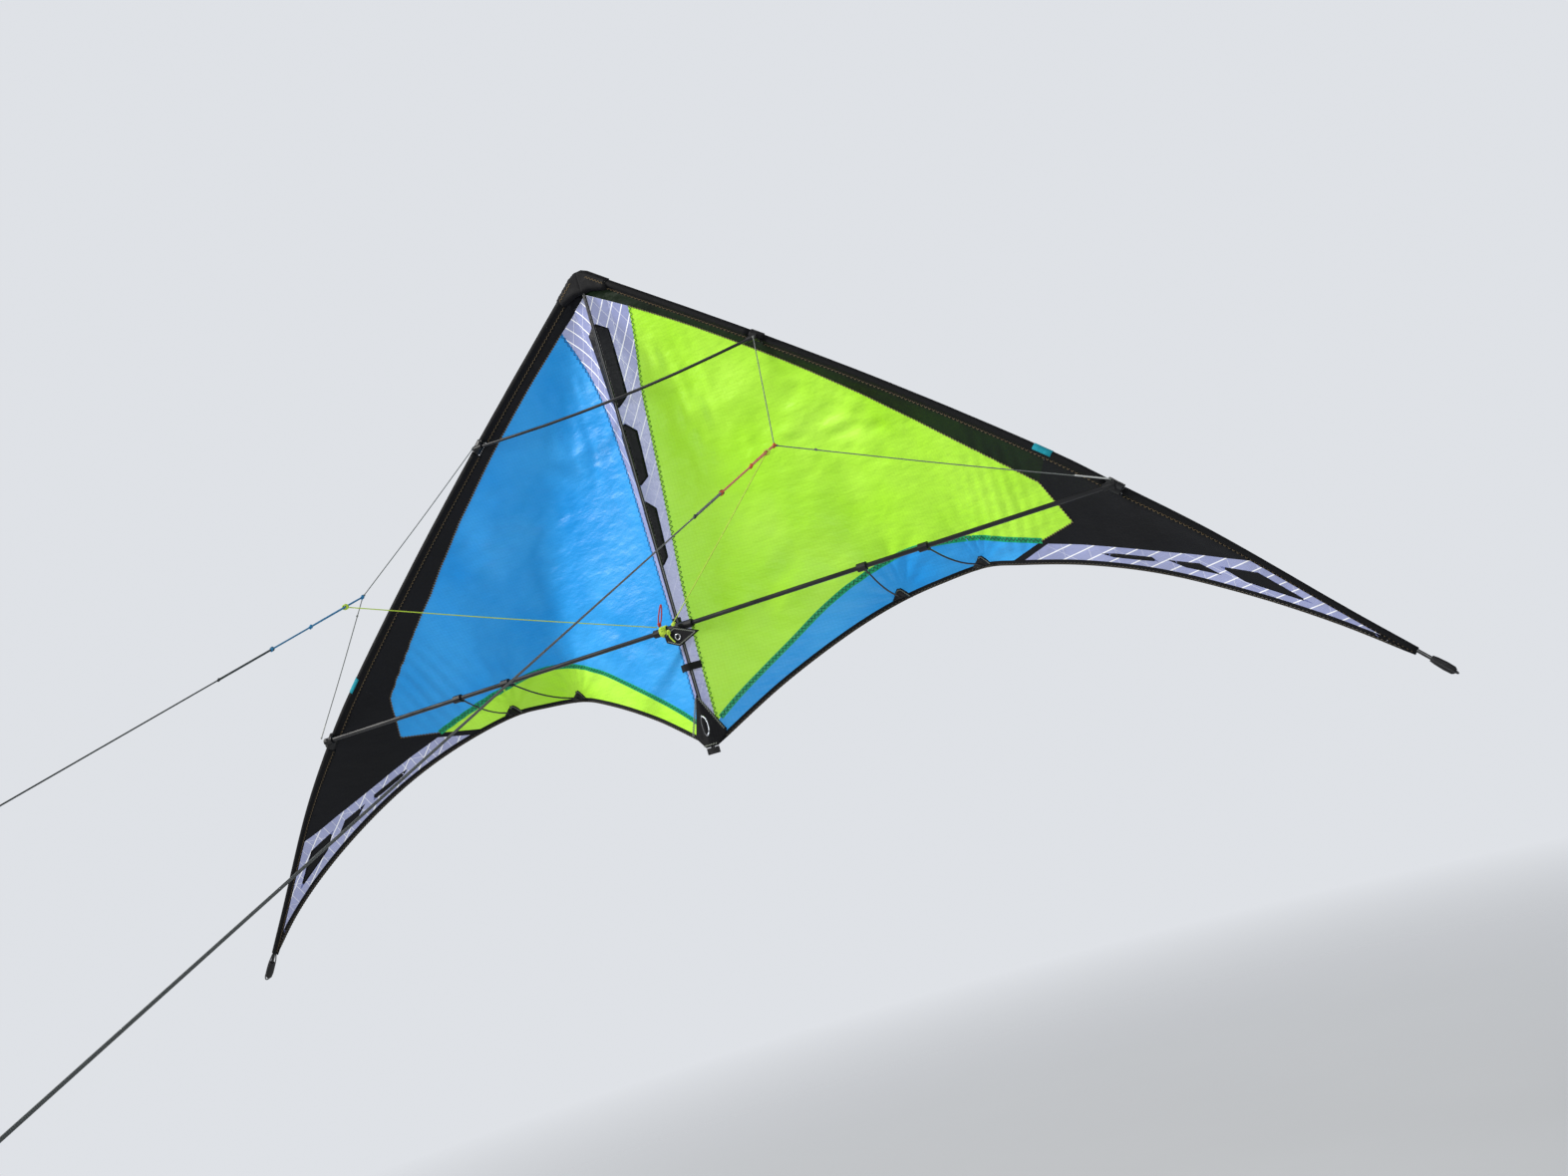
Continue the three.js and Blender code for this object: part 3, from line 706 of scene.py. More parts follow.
# ---- panel outlines of the +X wing, (x, z) ------------------------------------------------------
SPINE_X = 0.0002                # the half sails' inner edges, just clear of each other
SAIL_TIP_X = 0.972
BLACK_END_X = 0.842
BAND_END_X = 0.621
STRIP_FOOT_X = 0.481
FILM_FOOT_X = 0.500
FILM_SLANT = 0.55               # share of the depth that the centre film's threads allow for
CENTRE_SEAM = smoothed([
    (0.064, 0.487), (0.039, 0.379), (0.0295, 0.266), (0.023, 0.152), (0.017, 0.040), (0.015, -0.072),
    (0.0145, -0.150)])
BAND_EDGE = smoothed([
    (0.064, 0.487), (0.150, 0.427), (0.261, 0.342), (0.362, 0.257), (0.458, 0.168), (0.548, 0.082),
    (0.591, 0.040)])
MAIN_CORNER = (0.613, -0.0255)
PANEL_SEAM = smoothed([
    (0.0145, -0.150), (0.057, -0.119), (0.142, -0.066), (0.215, -0.023), (0.285, 0.004), (0.344, 0.013),
    (0.442, 0.001), (0.497, -0.017), (0.553, -0.0355)])
FILM_EDGE = [(0.560, -0.042), (0.610, -0.058), (0.648, -0.072), (0.687, -0.087), (0.728, -0.103),
             (0.775, -0.121), (0.811, -0.136)]


def top_line(start, end, step=0.008):
    return [(float(x), sail_top(float(x))) for x in np.linspace(start, end, int(abs(end - start) / step))]


MAIN_PANEL = CENTRE_SEAM + PANEL_SEAM[1:] + [MAIN_CORNER] + BAND_EDGE[::-1][:-1]
TRAILING_PANEL = PANEL_SEAM + TRAILING.between(STRIP_FOOT_X, 0.0145)
BLACK_BAND = top_line(0.0005, BAND_END_X) + BAND_EDGE[::-1] + [(0.0005, 0.5275)]
BLACK_PANEL = (
    top_line(BAND_END_X, BLACK_END_X) + FILM_EDGE[::-1] + TRAILING.between(FILM_FOOT_X, STRIP_FOOT_X)
    + [PANEL_SEAM[-1], MAIN_CORNER, BAND_EDGE[-1]])
TIP_PANEL = top_line(BLACK_END_X, SAIL_TIP_X) + TRAILING.between(SAIL_TIP_X, FILM_FOOT_X) + FILM_EDGE
CENTRE_PANEL = (
    [(SPINE_X, 0.5275)] + CENTRE_SEAM + TRAILING.between(0.0145, SPINE_X, 0.003)
    + [(SPINE_X, z / 100) for z in range(-16, 52, 2)])
LOZENGES = (
    [(0.632, -0.0775), (0.654, -0.084), (0.704, -0.1035), (0.710, -0.112), (0.688, -0.104), (0.648, -0.088)],
    [(0.724, -0.1135), (0.768, -0.131), (0.792, -0.1545), (0.746, -0.131)],
    [(0.793, -0.142), (0.843, -0.165), (0.898, -0.225), (0.820, -0.172)],
)
HEXAGONS = (
    [(SPINE_X, 0.482), (0.019, 0.468), (0.016, 0.362), (SPINE_X, 0.344)],
    [(SPINE_X, 0.325), (0.015, 0.306), (0.0125, 0.234), (SPINE_X, 0.221)],
    [(SPINE_X, 0.200), (0.0118, 0.184), (0.0095, 0.108), (SPINE_X, 0.094)],
)


# ---- cords --------------------------------------------------------------------------------------
def mirrored(place, side):
    return Vector((side * place[0], place[1], place[2]))


def on_pull(side, distance):
    """A place on the line that pulls at a tow point; the two lines run side by side to the flyer."""
    return mirrored(TOW, side) + PULL * distance


def run_on_pull(side, start, end, steps):
    return [on_pull(side, start + (end - start) * k / steps) for k in range(steps + 1)]


def square_frame(axis):
    """Three unit vectors square to each other, the first along axis."""
    ahead = Vector(axis).normalized()
    aside = ahead.orthogonal().normalized()
    return ahead, aside, ahead.cross(aside)


def knot(name, centre, axis, radius, material, size=1.0):
    """An overhand knot pulled tight: a trefoil of the cord itself, drawn out along it."""
    ahead, aside, above = square_frame(axis)
    path = []
    for k in range(42):
        t = 2 * math.pi * k / 42
        spread = (2 + math.cos(3 * t)) * radius * 0.62 * size
        path.append(Vector(centre) + aside * (spread * math.cos(2 * t))
                    + above * (math.sin(3 * t) * radius * 0.9 * size)
                    + ahead * (spread * 1.25 * math.sin(2 * t)))
    return tube(name, path, radius, material, closed=True)


def wraps(name, centre, axis, inner, radius, turns, material):
    """Turns of cord laid side by side round a cord or a rod."""
    ahead, aside, above = square_frame(axis)
    count = turns * 18
    path = []
    for k in range(count + 1):
        angle = 2 * math.pi * turns * k / count
        along = (k / count - 0.5) * turns * radius * 2.05
        out = (aside * math.cos(angle) + above * math.sin(angle)) * (inner + radius)
        path.append(Vector(centre) + ahead * along + out)
    return tube(name, path, radius, material)


def leg_path(start, end, spare=0.003, dip=0.0015, count=20):
    """A leg's line as the part has it: short of both places by spare, its middle hanging by dip."""
    reach = (end - start).normalized()
    a, b = start + reach * spare, end - reach * spare
    middle = (a + b) / 2 + Vector((0, 0, -dip))
    return [Vector(p) for p in catmull_rom([a, middle, b], count)]


def make_bridle_legs(side, tag):
    """Upper leg, outhaul and inhaul: thin cords from the frame to a tow point or the pigtail."""
    wing, line = f"wing_{tag}", f"line_{tag}"
    tow = mirrored(TOW, side)
    upper_anchor = mirrored((UPPER_CONNECTOR_X + 0.001, -0.0146, 0.368), side)
    lower_anchor = mirrored((LOWER_CONNECTOR_X + 0.005, -0.0145, 0.008), side)
    centre_anchor = mirrored((0.009 if side > 0 else 0.016, SPREADER_Y - 0.013, 0.007), side)

    def leg(name, path, colour):
        return tube(f"{name}_{tag}", path, BRIDLE_RADIUS, CORDS[colour])

    def tied(name, centre, axis, colour):
        return knot(f"{name}_{tag}", centre, axis, BRIDLE_RADIUS, CORDS[colour])

    def settle(cord, node, on_it):
        place_piece(cord, wing, [node])
        place_all(on_it, wing)

    path = leg_path(upper_anchor, tow)
    cord = leg("upper_leg", path, "grey")
    on_it = [tied("upper_hitch", path[0], path[1] - path[0], "grey"),
             tied("upper_leg_knot", path[-1] - PULL * 0.001, path[-2] - path[-1], "grey")]
    settle(cord, f"bridle_upper_leg_{tag}", on_it)

    path = leg_path(lower_anchor, tow)
    reach = (path[-1] - path[0]).normalized()
    cord = leg("outhaul", path, "grey")
    on_it = [tied("outhaul_hitch", path[0], reach, "grey"),
             tied("outhaul_stopper", path[-1] - reach * 0.052, reach, "grey"),
             tied("outhaul_knot", path[-1] - PULL * 0.002, reach, "grey"),
             tube(f"outhaul_sleeving_{tag}", [path[0] + reach * OUTHAUL_SLEEVING * k / 8 for k in range(9)],
                  BRIDLE_RADIUS * 1.5, CORDS["pale"])]
    settle(cord, f"bridle_outhaul_{tag}", on_it)

    joint = on_pull(side, INHAUL_STATION)
    path = leg_path(centre_anchor, joint)
    cord = leg("inhaul", path, "lime")
    describe(cord, [f"bridle_inhaul_{tag}"])
    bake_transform(cord)
    prusik = wraps(f"inhaul_prusik_{tag}", joint - PULL * 0.001, PULL, PIGTAIL_RADIUS * 2,
                   BRIDLE_RADIUS * 1.3, 3, CORDS["lime"])
    place_piece(prusik, line)
    stopper = tied("inhaul_knot", path[-1], path[-1] - path[-2], "lime")
    place_piece(stopper, wing)


def make_pigtail(side, tag):
    """The doubled cord from a tow point to the flying line. Its tow knot stays with the bridle legs."""
    wing, line = f"wing_{tag}", f"line_{tag}"
    colour = "blue" if side < 0 else "orange"
    length = PIGTAIL_LENGTH[tag]
    path = run_on_pull(side, 0.003, length, 16)
    pigtail = tube(f"pigtail_cord_{tag}", path, PIGTAIL_RADIUS, CORDS[colour], 10)
    tow_knot, *others = [
        knot(f"pigtail_knot_{k}_{tag}", on_pull(side, at), PULL, PIGTAIL_RADIUS, CORDS[colour], size)
        for k, (at, size) in enumerate(((0.002, 1.25), (SMALL_KNOT_STATION, 1.1), (length - 0.004, 1.2)))]
    aside = PULL.cross(Vector((0, 0, 1))).normalized() * PIGTAIL_RADIUS * 2.1
    folded = [place + aside * math.sin(math.pi * k / 16) ** 0.3
              for k, place in enumerate(run_on_pull(side, 0.004, SMALL_KNOT_STATION - 0.002, 16))]
    others.append(tube(f"pigtail_return_{tag}", folded, PIGTAIL_RADIUS, CORDS[colour], 10))
    place_piece(pigtail, line, [f"pigtail_{tag}"])
    place_piece(tow_knot, wing)
    place_all(others, line)


END_LOOP = ((0.0006, 0), (0.010, 0.0032), (0.024, 0.0054), (0.035, 0.0042), (0.040, 0))


def make_flying_line(side, tag):
    """The taut line, sleeved at its upper end and looped at the flyer's."""
    line, dark = f"line_{tag}", CORDS["dark"]
    length, reach = PIGTAIL_LENGTH[tag], LINE_REACH[tag]
    start = length + 0.0004
    path = run_on_pull(side, start, reach, 30)
    flying = tube(f"line_{tag}_cord", path, LINE_RADIUS, dark)
    hitch = wraps(f"line_hitch_{tag}", on_pull(side, length - 0.0045), PULL, PIGTAIL_RADIUS, LINE_RADIUS, 2,
                  dark)
    sleeve_start = start + 0.001
    sleeving = tube(f"line_sleeving_{tag}", run_on_pull(side, sleeve_start, sleeve_start + LINE_SLEEVING, 12),
                    LINE_RADIUS * 1.6, dark, 10)
    stopper = knot(f"line_knot_{tag}", on_pull(side, start + LINE_SLEEVING), PULL, LINE_RADIUS, dark)
    upward = (Vector((0, 0, 1)) - PULL * PULL.z).normalized()
    ring = list(END_LOOP) + [(s, -d) for s, d in END_LOOP[-2:0:-1]]
    ring = catmull_rom(ring + ring[:1], 48)[:-1]
    loop = tube(f"line_end_loop_{tag}", [on_pull(side, reach + s) + upward * d for s, d in ring],
                LINE_RADIUS, dark, closed=True)
    loop_knot = knot(f"line_loop_knot_{tag}", on_pull(side, reach + 0.001), PULL, LINE_RADIUS, dark, 1.2)
    place_piece(flying, line, [f"flying_line_{tag}"])
    place_piece(loop, line, [f"line_loop_{tag}"])
    place_all((hitch, sleeving, stopper, loop_knot), line)


# ---- sail ---------------------------------------------------------------------------------------
# Each wing's cloth for its main and trailing panels, with their slots, then its band and its seam's thread.
WING_CLOTH = {
    "left": ((BLUE_CLOTH, "sail_blue"), (LIME_CLOTH, "sail_lime"), BLACK_CLOTH, BLUE_THREAD),
    "right": ((LIME_CLOTH, "sail_lime"), (BLUE_CLOTH, "sail_blue"), BLACK_WITH_GREEN_GLOW, LIME_THREAD),
}
SEAM_OVERLAP = 0.0040           # half the width of the seam over the trailing panel, and its half thickness
SEAM_THICKNESS = 0.0003
EDGE_TAPE = ((-0.0016, 0.0), (-0.0012, -0.0008), (0.0054, -0.0007), (0.0058, 0.0), (0.0054, 0.0007),
             (-0.0012, 0.0008))
LOZENGE_THICKNESS = 0.0008
HEXAGON_THICKNESS = 0.0014      # thick enough to stay in front of the film where both bend


def overlap(share):
    wide, thick = SEAM_OVERLAP * share, SEAM_THICKNESS
    return [(-wide, -thick), (wide, -thick), (wide, thick), (-wide, thick)]


def make_half_sail(side, tag):
    wing = f"wing_{tag}"
    (main_cloth, main_slot), (foot_cloth, foot_slot), band_cloth, seam_thread = WING_CLOTH[tag]
    main = panel(f"main_panel_{tag}", MAIN_PANEL, side, main_cloth)
    place_piece(main, wing, [f"half_sail_{tag}"])
    foot = panel(f"trailing_panel_{tag}", TRAILING_PANEL, side, foot_cloth, 0.005)
    place_piece(foot, wing)
    band = panel(f"black_band_{tag}", BLACK_BAND, side, band_cloth, 0.005)
    black = panel(f"black_panel_{tag}", BLACK_PANEL, side, BLACK_CLOTH)
    place_all((band, black), wing)
    tip = panel(f"tip_laminate_{tag}", TIP_PANEL, side, TIP_FILM[tag], 0.005)
    place_piece(tip, wing)
    centre = panel(f"centre_laminate_{tag}", CENTRE_PANEL, side, CENTRE_FILM, 0.0045, FILM_SLANT)
    fold_with_wing(centre)

    lozenges = [pad(f"tip_lozenge_{k}_{tag}", outline, side, BLACK_CLOTH, LOZENGE_THICKNESS, sail_y)
                for k, outline in enumerate(LOZENGES)]
    place_all(lozenges, wing)
    hexagons = [pad(f"centre_hexagon_{k}_{tag}", outline, side, BLACK_CLOTH, HEXAGON_THICKNESS, sail_y)
                for k, outline in enumerate(HEXAGONS)]
    for hexagon in hexagons:
        fold_with_wing(hexagon)

    foot_seam = strip(f"panel_seam_{tag}", stretch(PANEL_SEAM[1:], 0.005), overlap(1), side, SEAM_CLOTH)
    place_piece(foot_seam, wing)
    spine_seam = strip(f"centre_seam_{tag}", stretch(CENTRE_SEAM, 0.005), overlap(0.45), side, main_cloth)
    place_piece(spine_seam, wing)
    edging_path = [(0.006, float(TRAILING.at(0.006)[1]))] + TRAILING.between(0.010, 1.000, 0.005)
    edging = strip(f"trailing_tape_{tag}", edging_path, EDGE_TAPE, side, TAPE)
    place_piece(edging, wing)

    stitches = [
        zigzag(f"stitch_a_{tag}", PANEL_SEAM[1:], side, GREEN_THREAD, 0.0024, 0.0066),
        zigzag(f"stitch_b_{tag}", CENTRE_SEAM, side, seam_thread, 0.0023, 0.0078),
        zigzag(f"stitch_c_{tag}", TRAILING.between(0.020, 0.985, 0.005), side, DARK_THREAD,
               0.0014, 0.0056, off=0.0011),
        zigzag(f"stitch_d_{tag}", BAND_EDGE, side, BROWN_THREAD, 0.0011, 0.0046),
        zigzag(f"stitch_e_{tag}", [PANEL_SEAM[-1], MAIN_CORNER, BAND_EDGE[-1]], side, BROWN_THREAD,
               0.0011, 0.0046),
    ]
    place_piece(joined(f"sail_stitching_{tag}", stitches), wing)


# ---- leading edge -------------------------------------------------------------------------------
SLEEVE_STATIONS = ((0.70, 0.82, 0.92), (0.0055, 0.0046, 0.0044), (0.0100, 0.0066, 0.0057))
TEAL_TAB = (0.611, 0.632)
NOSE_OUTLINE = [(-0.0045, 0.5645), (0.006, 0.5650), (0.017, 0.5600), (0.0500, 0.5350), (0.0395, 0.5205),
                (0.013, 0.5285), (-0.0045, 0.5275)]
NOSE_THICKNESS = 0.0146
NOSE_SEAM = [(0.014, 0.5505), (0.0405, 0.5305)]
BUNGEE_LOOP = ((0.0008, 0.0042), (0.020, 0.0084), (0.040, 0.009), (0.051, 0.0084), (0.057, 0.004))
BUNGEE_RADIUS = 0.0011


def leading_frame(x):
    """A place on the leading spar's axis, and the in-sail direction square to it, both for the +X wing."""
    y, z = LEADING.at(x)
    step = 0.002
    slope = (LEADING.at(x + step)[1] - LEADING.at(x - step)[1]) / (2 * step)
    length = math.hypot(1, slope)
    return x, float(y), float(z), (slope / length, -1 / length)


def sleeve_size(x):
    """Radius of the fold round the spar and reach of its flap, both smaller towards the wing tip."""
    stations, radii, flaps = SLEEVE_STATIONS
    return float(np.interp(x, stations, radii)), float(np.interp(x, stations, flaps))


def make_sleeve(name, start, end, side, material, first=38, proud=0.0, reach=None):
    """A fold of tape round the leading spar, closed to a flap that holds the sail's edge."""
    rings, uvs, run, last = [], [], 0.0, None
    for x in np.linspace(start, end, max(4, int((end - start) / 0.007))):
        cx, cy, cz, (dx, dz) = leading_frame(float(x))
        run += math.dist(last, (cx, cz)) if last else 0
        last = (cx, cz)
        radius, flap = sleeve_size(x)
        flap = reach or flap
        swell = (radius + proud) * (1 + 0.02 * float(grain(x, 0.3, 0.016)))
        ring = []
        for k in range(17):
            angle = math.radians(first + (360 - 2 * first) * k / 16)
            out, up = swell * math.cos(angle), swell * math.sin(angle)
            ring.append((cx + dx * out, cy + up, cz + dz * out))
        for s, h in ((0.003, -0.0012), (0.0008, -0.0009), (0, 0), (0.0008, 0.0009), (0.003, 0.0012)):
            px, pz = cx + dx * (flap - s), cz + dz * (flap - s)
            ring.append((px, float(sail_y(px, pz)) + h, pz))
        rings.append([(side * p[0], p[1], p[2]) for p in ring])
        uvs += [(k * 0.0024, run) for k in range(len(ring))]
    return rings_to_mesh(name, rings, material, uvs)


def make_sleeves(side, tag):
    """The leading edge's three stretches, which leave both connectors open, with their stitching."""
    wing = f"wing_{tag}"
    stretches = (("upper", 0.006, UPPER_CONNECTOR_X - CONNECTOR_GAP),
                 ("middle", UPPER_CONNECTOR_X + CONNECTOR_GAP, LOWER_CONNECTOR_X - CONNECTOR_GAP),
                 ("lower", LOWER_CONNECTOR_X + CONNECTOR_GAP, SLEEVE_END_X))
    for part, start, end in stretches:
        piece = make_sleeve(f"sleeve_tape_{part}_{tag}", start, end, side, SLEEVE_CLOTH)
        if part == "upper":
            fold_with_wing(piece, [f"sleeve_{part}_{tag}"])
        else:
            place_piece(piece, wing, [f"sleeve_{part}_{tag}"])
    nose = pad(f"nose_fold_{tag}", NOSE_OUTLINE, side, STRAP_CLOTH, NOSE_THICKNESS, level, 0.0026, 0.0068)
    stands_for = ["nose_webbing"] if side > 0 else ()
    fold_with_wing(nose, stands_for)
    seam = zigzag(f"nose_stitch_{tag}", NOSE_SEAM, side, BROWN_THREAD, 0.0014, 0.0052, 0.0075, level)
    fold_with_wing(seam)
    tab = make_sleeve(f"teal_tab_{tag}", *TEAL_TAB, side, TEAL_CLOTH, 62, 0.0006, 0.0036)
    place_piece(tab, wing, [f"sleeve_tab_{tag}"])

    stitches = []
    for k, (_, start, end) in enumerate(stretches):
        path = []
        for x in np.linspace(start + 0.002, end - 0.003, int((end - start) / 0.01)):
            cx, _, cz, (dx, dz) = leading_frame(float(x))
            inset = sleeve_size(float(x))[1] - 0.0023
            path.append((cx + dx * inset, cz + dz * inset))
        stitches.append(zigzag(f"sleeve_stitch_{k}_{tag}", path, side, BROWN_THREAD, 0.0016, 0.0064, 0.0012))
    place_piece(joined(f"sleeve_stitching_{tag}", stitches), wing)


def make_tip_loop(side, tag):
    """The elastic loop that holds the nock on the spar; it stretches as the nock slides off."""
    def on_spar(x):
        return mirrored((x, *map(float, LEADING.at(x))), side)

    end = on_spar(SLEEVE_END_X)
    ahead = (end - on_spar(SLEEVE_END_X - 0.004)).normalized()
    aside = (Vector((0, 1, 0)) - ahead * ahead.y).normalized()
    loop = [(s, -d) for s, d in BUNGEE_LOOP] + list(reversed(BUNGEE_LOOP))
    path = [end + ahead * s + aside * d for s, d in catmull_rom(loop, 44)]
    bungee = tube(f"bungee_loop_{tag}", path, BUNGEE_RADIUS, CORDS["bungee"])
    describe(bungee, [f"tip_bungee_{tag}"])
    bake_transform(bungee)


# ---- fittings -----------------------------------------------------------------------------------
PATCH_OUTLINE = ((-0.015, -0.0075), (0.015, -0.0065), (0.009, 0.004), (0.003, 0.0115), (-0.003, 0.0115),
                 (-0.009, 0.004))
PATCH_SEAM = ((-0.011, -0.004), (-0.002, 0.009), (0.002, 0.009), (0.011, -0.004))


def make_patches(side, tag):
    """The black patch under each sail fitting."""
    wing = f"wing_{tag}"
    for which, (fx, fz) in FITTINGS.items():
        outline, seam = ([(fx + x, fz + z) for x, z in places] for places in (PATCH_OUTLINE, PATCH_SEAM))
        patch = pad(f"sail_patch_{which}_{tag}", outline, side, TAPE, 0.0030, sail_y, 0.0022, 0.0012)
        place_piece(patch, wing)
        stitch = zigzag(f"patch_stitch_{which}_{tag}", stretch(seam, 0.003), side, GREY_THREAD,
                        0.0008, 0.003, 0.0016)
        place_piece(stitch, wing)


# ---- tail and centre ----------------------------------------------------------------------------
TAIL_OUTLINE = [(0, -0.104), (0.0055, -0.116), (0.0275, -0.1645), (0.0235, -0.1725), (0.011, -0.185),
                (-0.011, -0.185), (-0.0235, -0.1725), (-0.0275, -0.1645), (-0.0055, -0.116)]
TAIL_SEAMS = ([(0.002, -0.109), (0.0245, -0.163)], [(-0.002, -0.109), (-0.0245, -0.163)],
              [(-0.010, -0.1815), (0.010, -0.1815)])
BADGE_CENTRE = (0.0005, -0.152)
CENTRE_OUTLINE = [(-0.014, -0.006), (0.006, 0.002), (0.047, -0.0145), (0.008, -0.029), (-0.013, -0.0185)]
CENTRE_STITCHES = [(-0.010, -0.0075), (0.006, -0.0005), (0.040, -0.0145), (0.008, -0.0262), (-0.010, -0.017)]
HITCH_PLACE = (-0.0155, SPREADER_Y, 0)
CENTRE_KNOTS = (        # place, and the way the knot points
    ((-0.0135, SPREADER_Y - 0.0100, 0.0035), (1, 0, -0.6)),
    ((-0.0035, SPREADER_Y - 0.0115, -0.004), (0.4, 0, 1)),
    ((0.0085, SPREADER_Y - 0.0112, 0.0062), (1, 0, 0.5)),
)
HITCH_TAIL = ((-0.0035, SPREADER_Y - 0.0115, -0.004), (-0.003, SPREADER_Y - 0.0125, -0.010),
              (0.000, SPREADER_Y - 0.0125, -0.016), (0.0035, SPREADER_Y - 0.0120, -0.021))
STRAP_LINE = ((-0.0175, 0.0052), (-0.0075, -0.0050), (-0.0042, -0.0088), (0.0042, -0.0088),
              (0.0075, -0.0050), (0.0175, 0.0052))      # (x, y) round the spine
STRAP_HEIGHTS = (-0.0665, -0.0555)
STRAP_HALF = 0.0008


def tail_front(x, z):
    """The tail webbing's middle layer, creased round the spine."""
    return -0.0061 + np.maximum(0, np.abs(x) - 0.0005) * 0.52


def patch_front(x, z):
    return SPREADER_Y - 0.0088 + 0 * x


def make_tail():
    """The webbing folded round the spine's lower end, with a plain ring for a badge."""
    tail = pad("tail_fold", TAIL_OUTLINE, 1, STRAP_CLOTH, 0.0026, tail_front, 0.0026, 0.0012)
    place_piece(tail, "frame", ["tail_webbing"])

    def oval(width, height):
        return [(BADGE_CENTRE[0] + width * math.sin(a), BADGE_CENTRE[1] + height * math.cos(a))
                for a in angles(32)]

    badge = pad("tail_badge", oval(0.0062, 0.0165), 1, ALUMINIUM, 0.0009,
                lambda x, z: tail_front(x, z) - 0.0016, 0.0016, 0.0006)
    place_piece(badge, "frame")
    field = pad("tail_badge_field", oval(0.0046, 0.0138), 1, STRAP_CLOTH, 0.0007,
                lambda x, z: tail_front(x, z) - 0.0020, 0.0016, 0.0005)
    place_piece(field, "frame")
    seams = [zigzag(f"tail_stitch_{k}", path, 1, GREY_THREAD, 0.001, 0.0036, 0.0014, tail_front)
             for k, path in enumerate(TAIL_SEAMS)]
    place_piece(joined("tail_stitching", seams), "frame")


def make_centre_patch():
    """The pointed patch on the centre T, with its eyelet."""
    patch = pad("centre_patch", CENTRE_OUTLINE, 1, STRAP_CLOTH, 0.0022, patch_front, 0.0025, 0.001)
    place_piece(patch, "frame")
    middle = Vector((0.009, SPREADER_Y - 0.0102, -0.0145))
    ring = [middle + Vector((math.cos(a), 0, math.sin(a))) * 0.0042 for a in angles(28)]
    eyelet = tube("centre_eyelet", ring, 0.00105, ALUMINIUM, closed=True)
    place_piece(eyelet, "frame")
    seam = zigzag("patch_stitch", CENTRE_STITCHES, 1, GREY_THREAD, 0.0008, 0.0032, 0.0012, patch_front)
    place_piece(seam, "frame")


def make_centre_cords():
    """The inhauls' hitch round the centre T and its knots, and the red pull loop."""
    lime, red = CORDS["lime"], CORDS["red"]
    hitch = wraps("centre_hitch", HITCH_PLACE, (1, 0, 0), 0.0063, 0.0012, 5, lime)
    place_piece(hitch, "frame", ["inhaul_hitch"])
    lumps = [knot(f"centre_knot_{k}", place, axis, 0.0012, lime, 1.15)
             for k, (place, axis) in enumerate(CENTRE_KNOTS)]
    place_all(lumps, "frame")
    place_piece(tube("centre_hitch_tail", catmull_rom(HITCH_TAIL, 14), 0.0011, lime), "frame")
    low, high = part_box("pull_loop")
    middle = (low + high) / 2
    ring = [middle + Vector((0.0026 * math.sin(a) * (1 - 0.25 * math.cos(a)) + 0.0058 * math.cos(a), 0,
                             0.0140 * math.cos(a) - 0.001)) for a in angles(36)]
    place_piece(tube("red_loop", ring, 0.0011, red, closed=True), "frame", ["pull_loop"])
    loop_knot = knot("red_loop_knot", middle + Vector((-0.0060, 0, -0.0152)), (0, 0, 1), 0.0011, red, 1.1)
    place_piece(loop_knot, "frame")


def make_spine_strap():
    """The hook-and-loop strap that wraps the spine above the tail."""
    curve = catmull_rom(STRAP_LINE, 30)
    low, high = STRAP_HEIGHTS
    rings, uvs = [], []
    for i, (x, y) in enumerate(curve):
        ahead = curve[min(i + 1, len(curve) - 1)] - curve[max(i - 1, 0)]
        nx, ny = np.array((-ahead[1], ahead[0])) / np.linalg.norm(ahead) * STRAP_HALF
        rings.append([(x + nx, y + ny, low), (x + nx, y + ny, high),
                      (x - nx, y - ny, high), (x - nx, y - ny, low)])
        uvs += [(u, i * 0.0012) for u in (0, high - low, high - low, 0)]
    strap = rings_to_mesh("spine_tape", rings, TAPE, uvs, smooth=False)
    place_piece(strap, "frame", ["spine_strap"])


# ---- materials for the CAD pieces that stay -----------------------------------------------------
CAD_FINISH = (
    ("spine_rod", CARBON), ("spreader", CARBON), ("spar", CARBON), ("whisker", CARBON),
    ("ferrule", ALUMINIUM), ("centre_t", MOULDED), ("clamp", MOULDED), ("connector", MOULDED),
    ("nock", MOULDED), ("fitting", MOULDED), ("tail_cap", MOULDED),
)


def finish_cad_nodes():
    for name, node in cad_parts.items():
        for word, material in CAD_FINISH:
            if word in name:
                node.data.materials.clear()
                node.data.materials.append(material)
                break


# ---- studio -------------------------------------------------------------------------------------
FLOOR_FADE = (2.0, 5.5)         # distances at which the floor starts and ends fading out
WORLD_LIGHT = 0.34              # strength of the background's light, and how bright the camera sees it
WORLD_SEEN = 0.95
LIT_PLACE = (0.1, 0, 0.1)
LIGHTS = (      # name, place, size, power, colour
    ("key", (-4.2, -2.2, 3.0), 0.8, 420, (1.0, 0.98, 0.94)),
    ("fill", (2.6, -3.6, 0.6), 2.6, 110, (0.95, 0.98, 1.0)),
    ("back", (0.6, 3.2, 1.8), 2.0, 60, (1, 1, 1)),
)


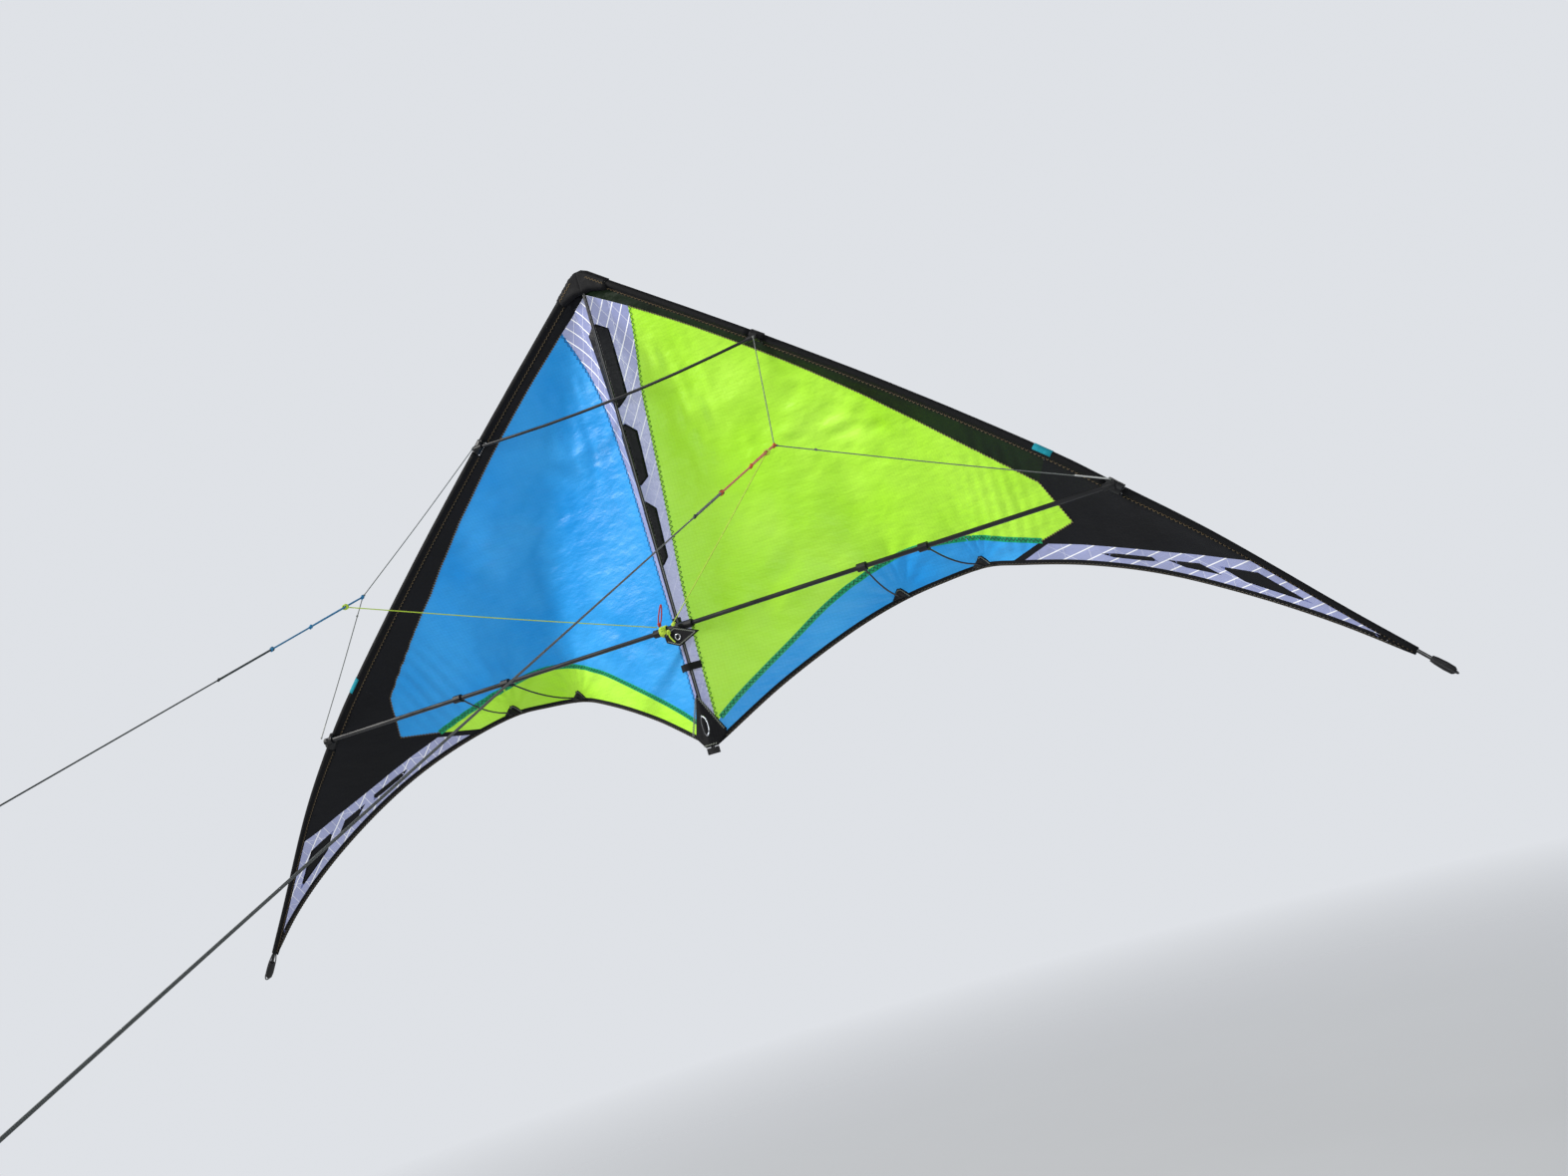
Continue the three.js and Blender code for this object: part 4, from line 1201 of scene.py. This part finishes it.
def make_floor():
    """A wide pale floor that fades out before its horizon."""
    t = Tree("studio_floor")
    where = t.place()
    away = t.add("VectorMath", {0: where}, operation="LENGTH").outputs["Value"]
    tone = t.mix(t.noise(where, 1.3, 3.0), srgb(178, 180, 183), srgb(184, 186, 189))
    ground = t.principled(Base_Color=tone, Roughness=0.85)
    clear = t.add("BsdfTransparent")
    share = t.ramp(away, *FLOOR_FADE)
    material = t.finish(t.add("MixShader", {0: share, 1: ground.outputs[0], 2: clear.outputs[0]}))
    rings = [[(r * math.cos(a), r * math.sin(a), 0) for a in angles(64)] for r in (0.01, 3, 6, 9, 12)]
    floor = rings_to_mesh("studio_floor", rings, material, caps=False)
    floor.location = (0.2, 0, FLOOR_Z)


def make_light(name, place, size, power, colour):
    data = bpy.data.lights.new(name, "AREA")
    data.shape, data.size, data.energy, data.color = "DISK", size, power, colour
    light = bpy.data.objects.new(name, data)
    light.location = place
    light.rotation_mode = "QUATERNION"
    light.rotation_quaternion = (Vector(LIT_PLACE) - Vector(place)).to_track_quat("-Z", "Y")
    bpy.context.scene.collection.objects.link(light)


def make_studio():
    make_floor()
    world = bpy.data.worlds.new("studio")
    world.use_nodes = True
    tree = world.node_tree
    background = tree.nodes["Background"]
    background.inputs["Color"].default_value = srgb(228, 231, 236)
    seen = tree.nodes.new("ShaderNodeLightPath").outputs["Is Camera Ray"]
    strength = tree.nodes.new("ShaderNodeMapRange")
    strength.inputs["To Min"].default_value, strength.inputs["To Max"].default_value = WORLD_LIGHT, WORLD_SEEN
    tree.links.new(seen, strength.inputs["Value"])
    tree.links.new(strength.outputs["Result"], background.inputs["Strength"])
    bpy.context.scene.world = world
    for light in LIGHTS:
        make_light(*light)
    bpy.context.scene.view_settings.view_transform = "Standard"


for side, tag in SIDES:
    make_bridle_legs(side, tag)
    make_pigtail(side, tag)
    make_flying_line(side, tag)
for side, tag in SIDES:
    make_half_sail(side, tag)
    make_sleeves(side, tag)
    make_tip_loop(side, tag)
    make_patches(side, tag)
make_tail()
make_centre_patch()
make_centre_cords()
make_spine_strap()
finish_cad_nodes()
make_studio()
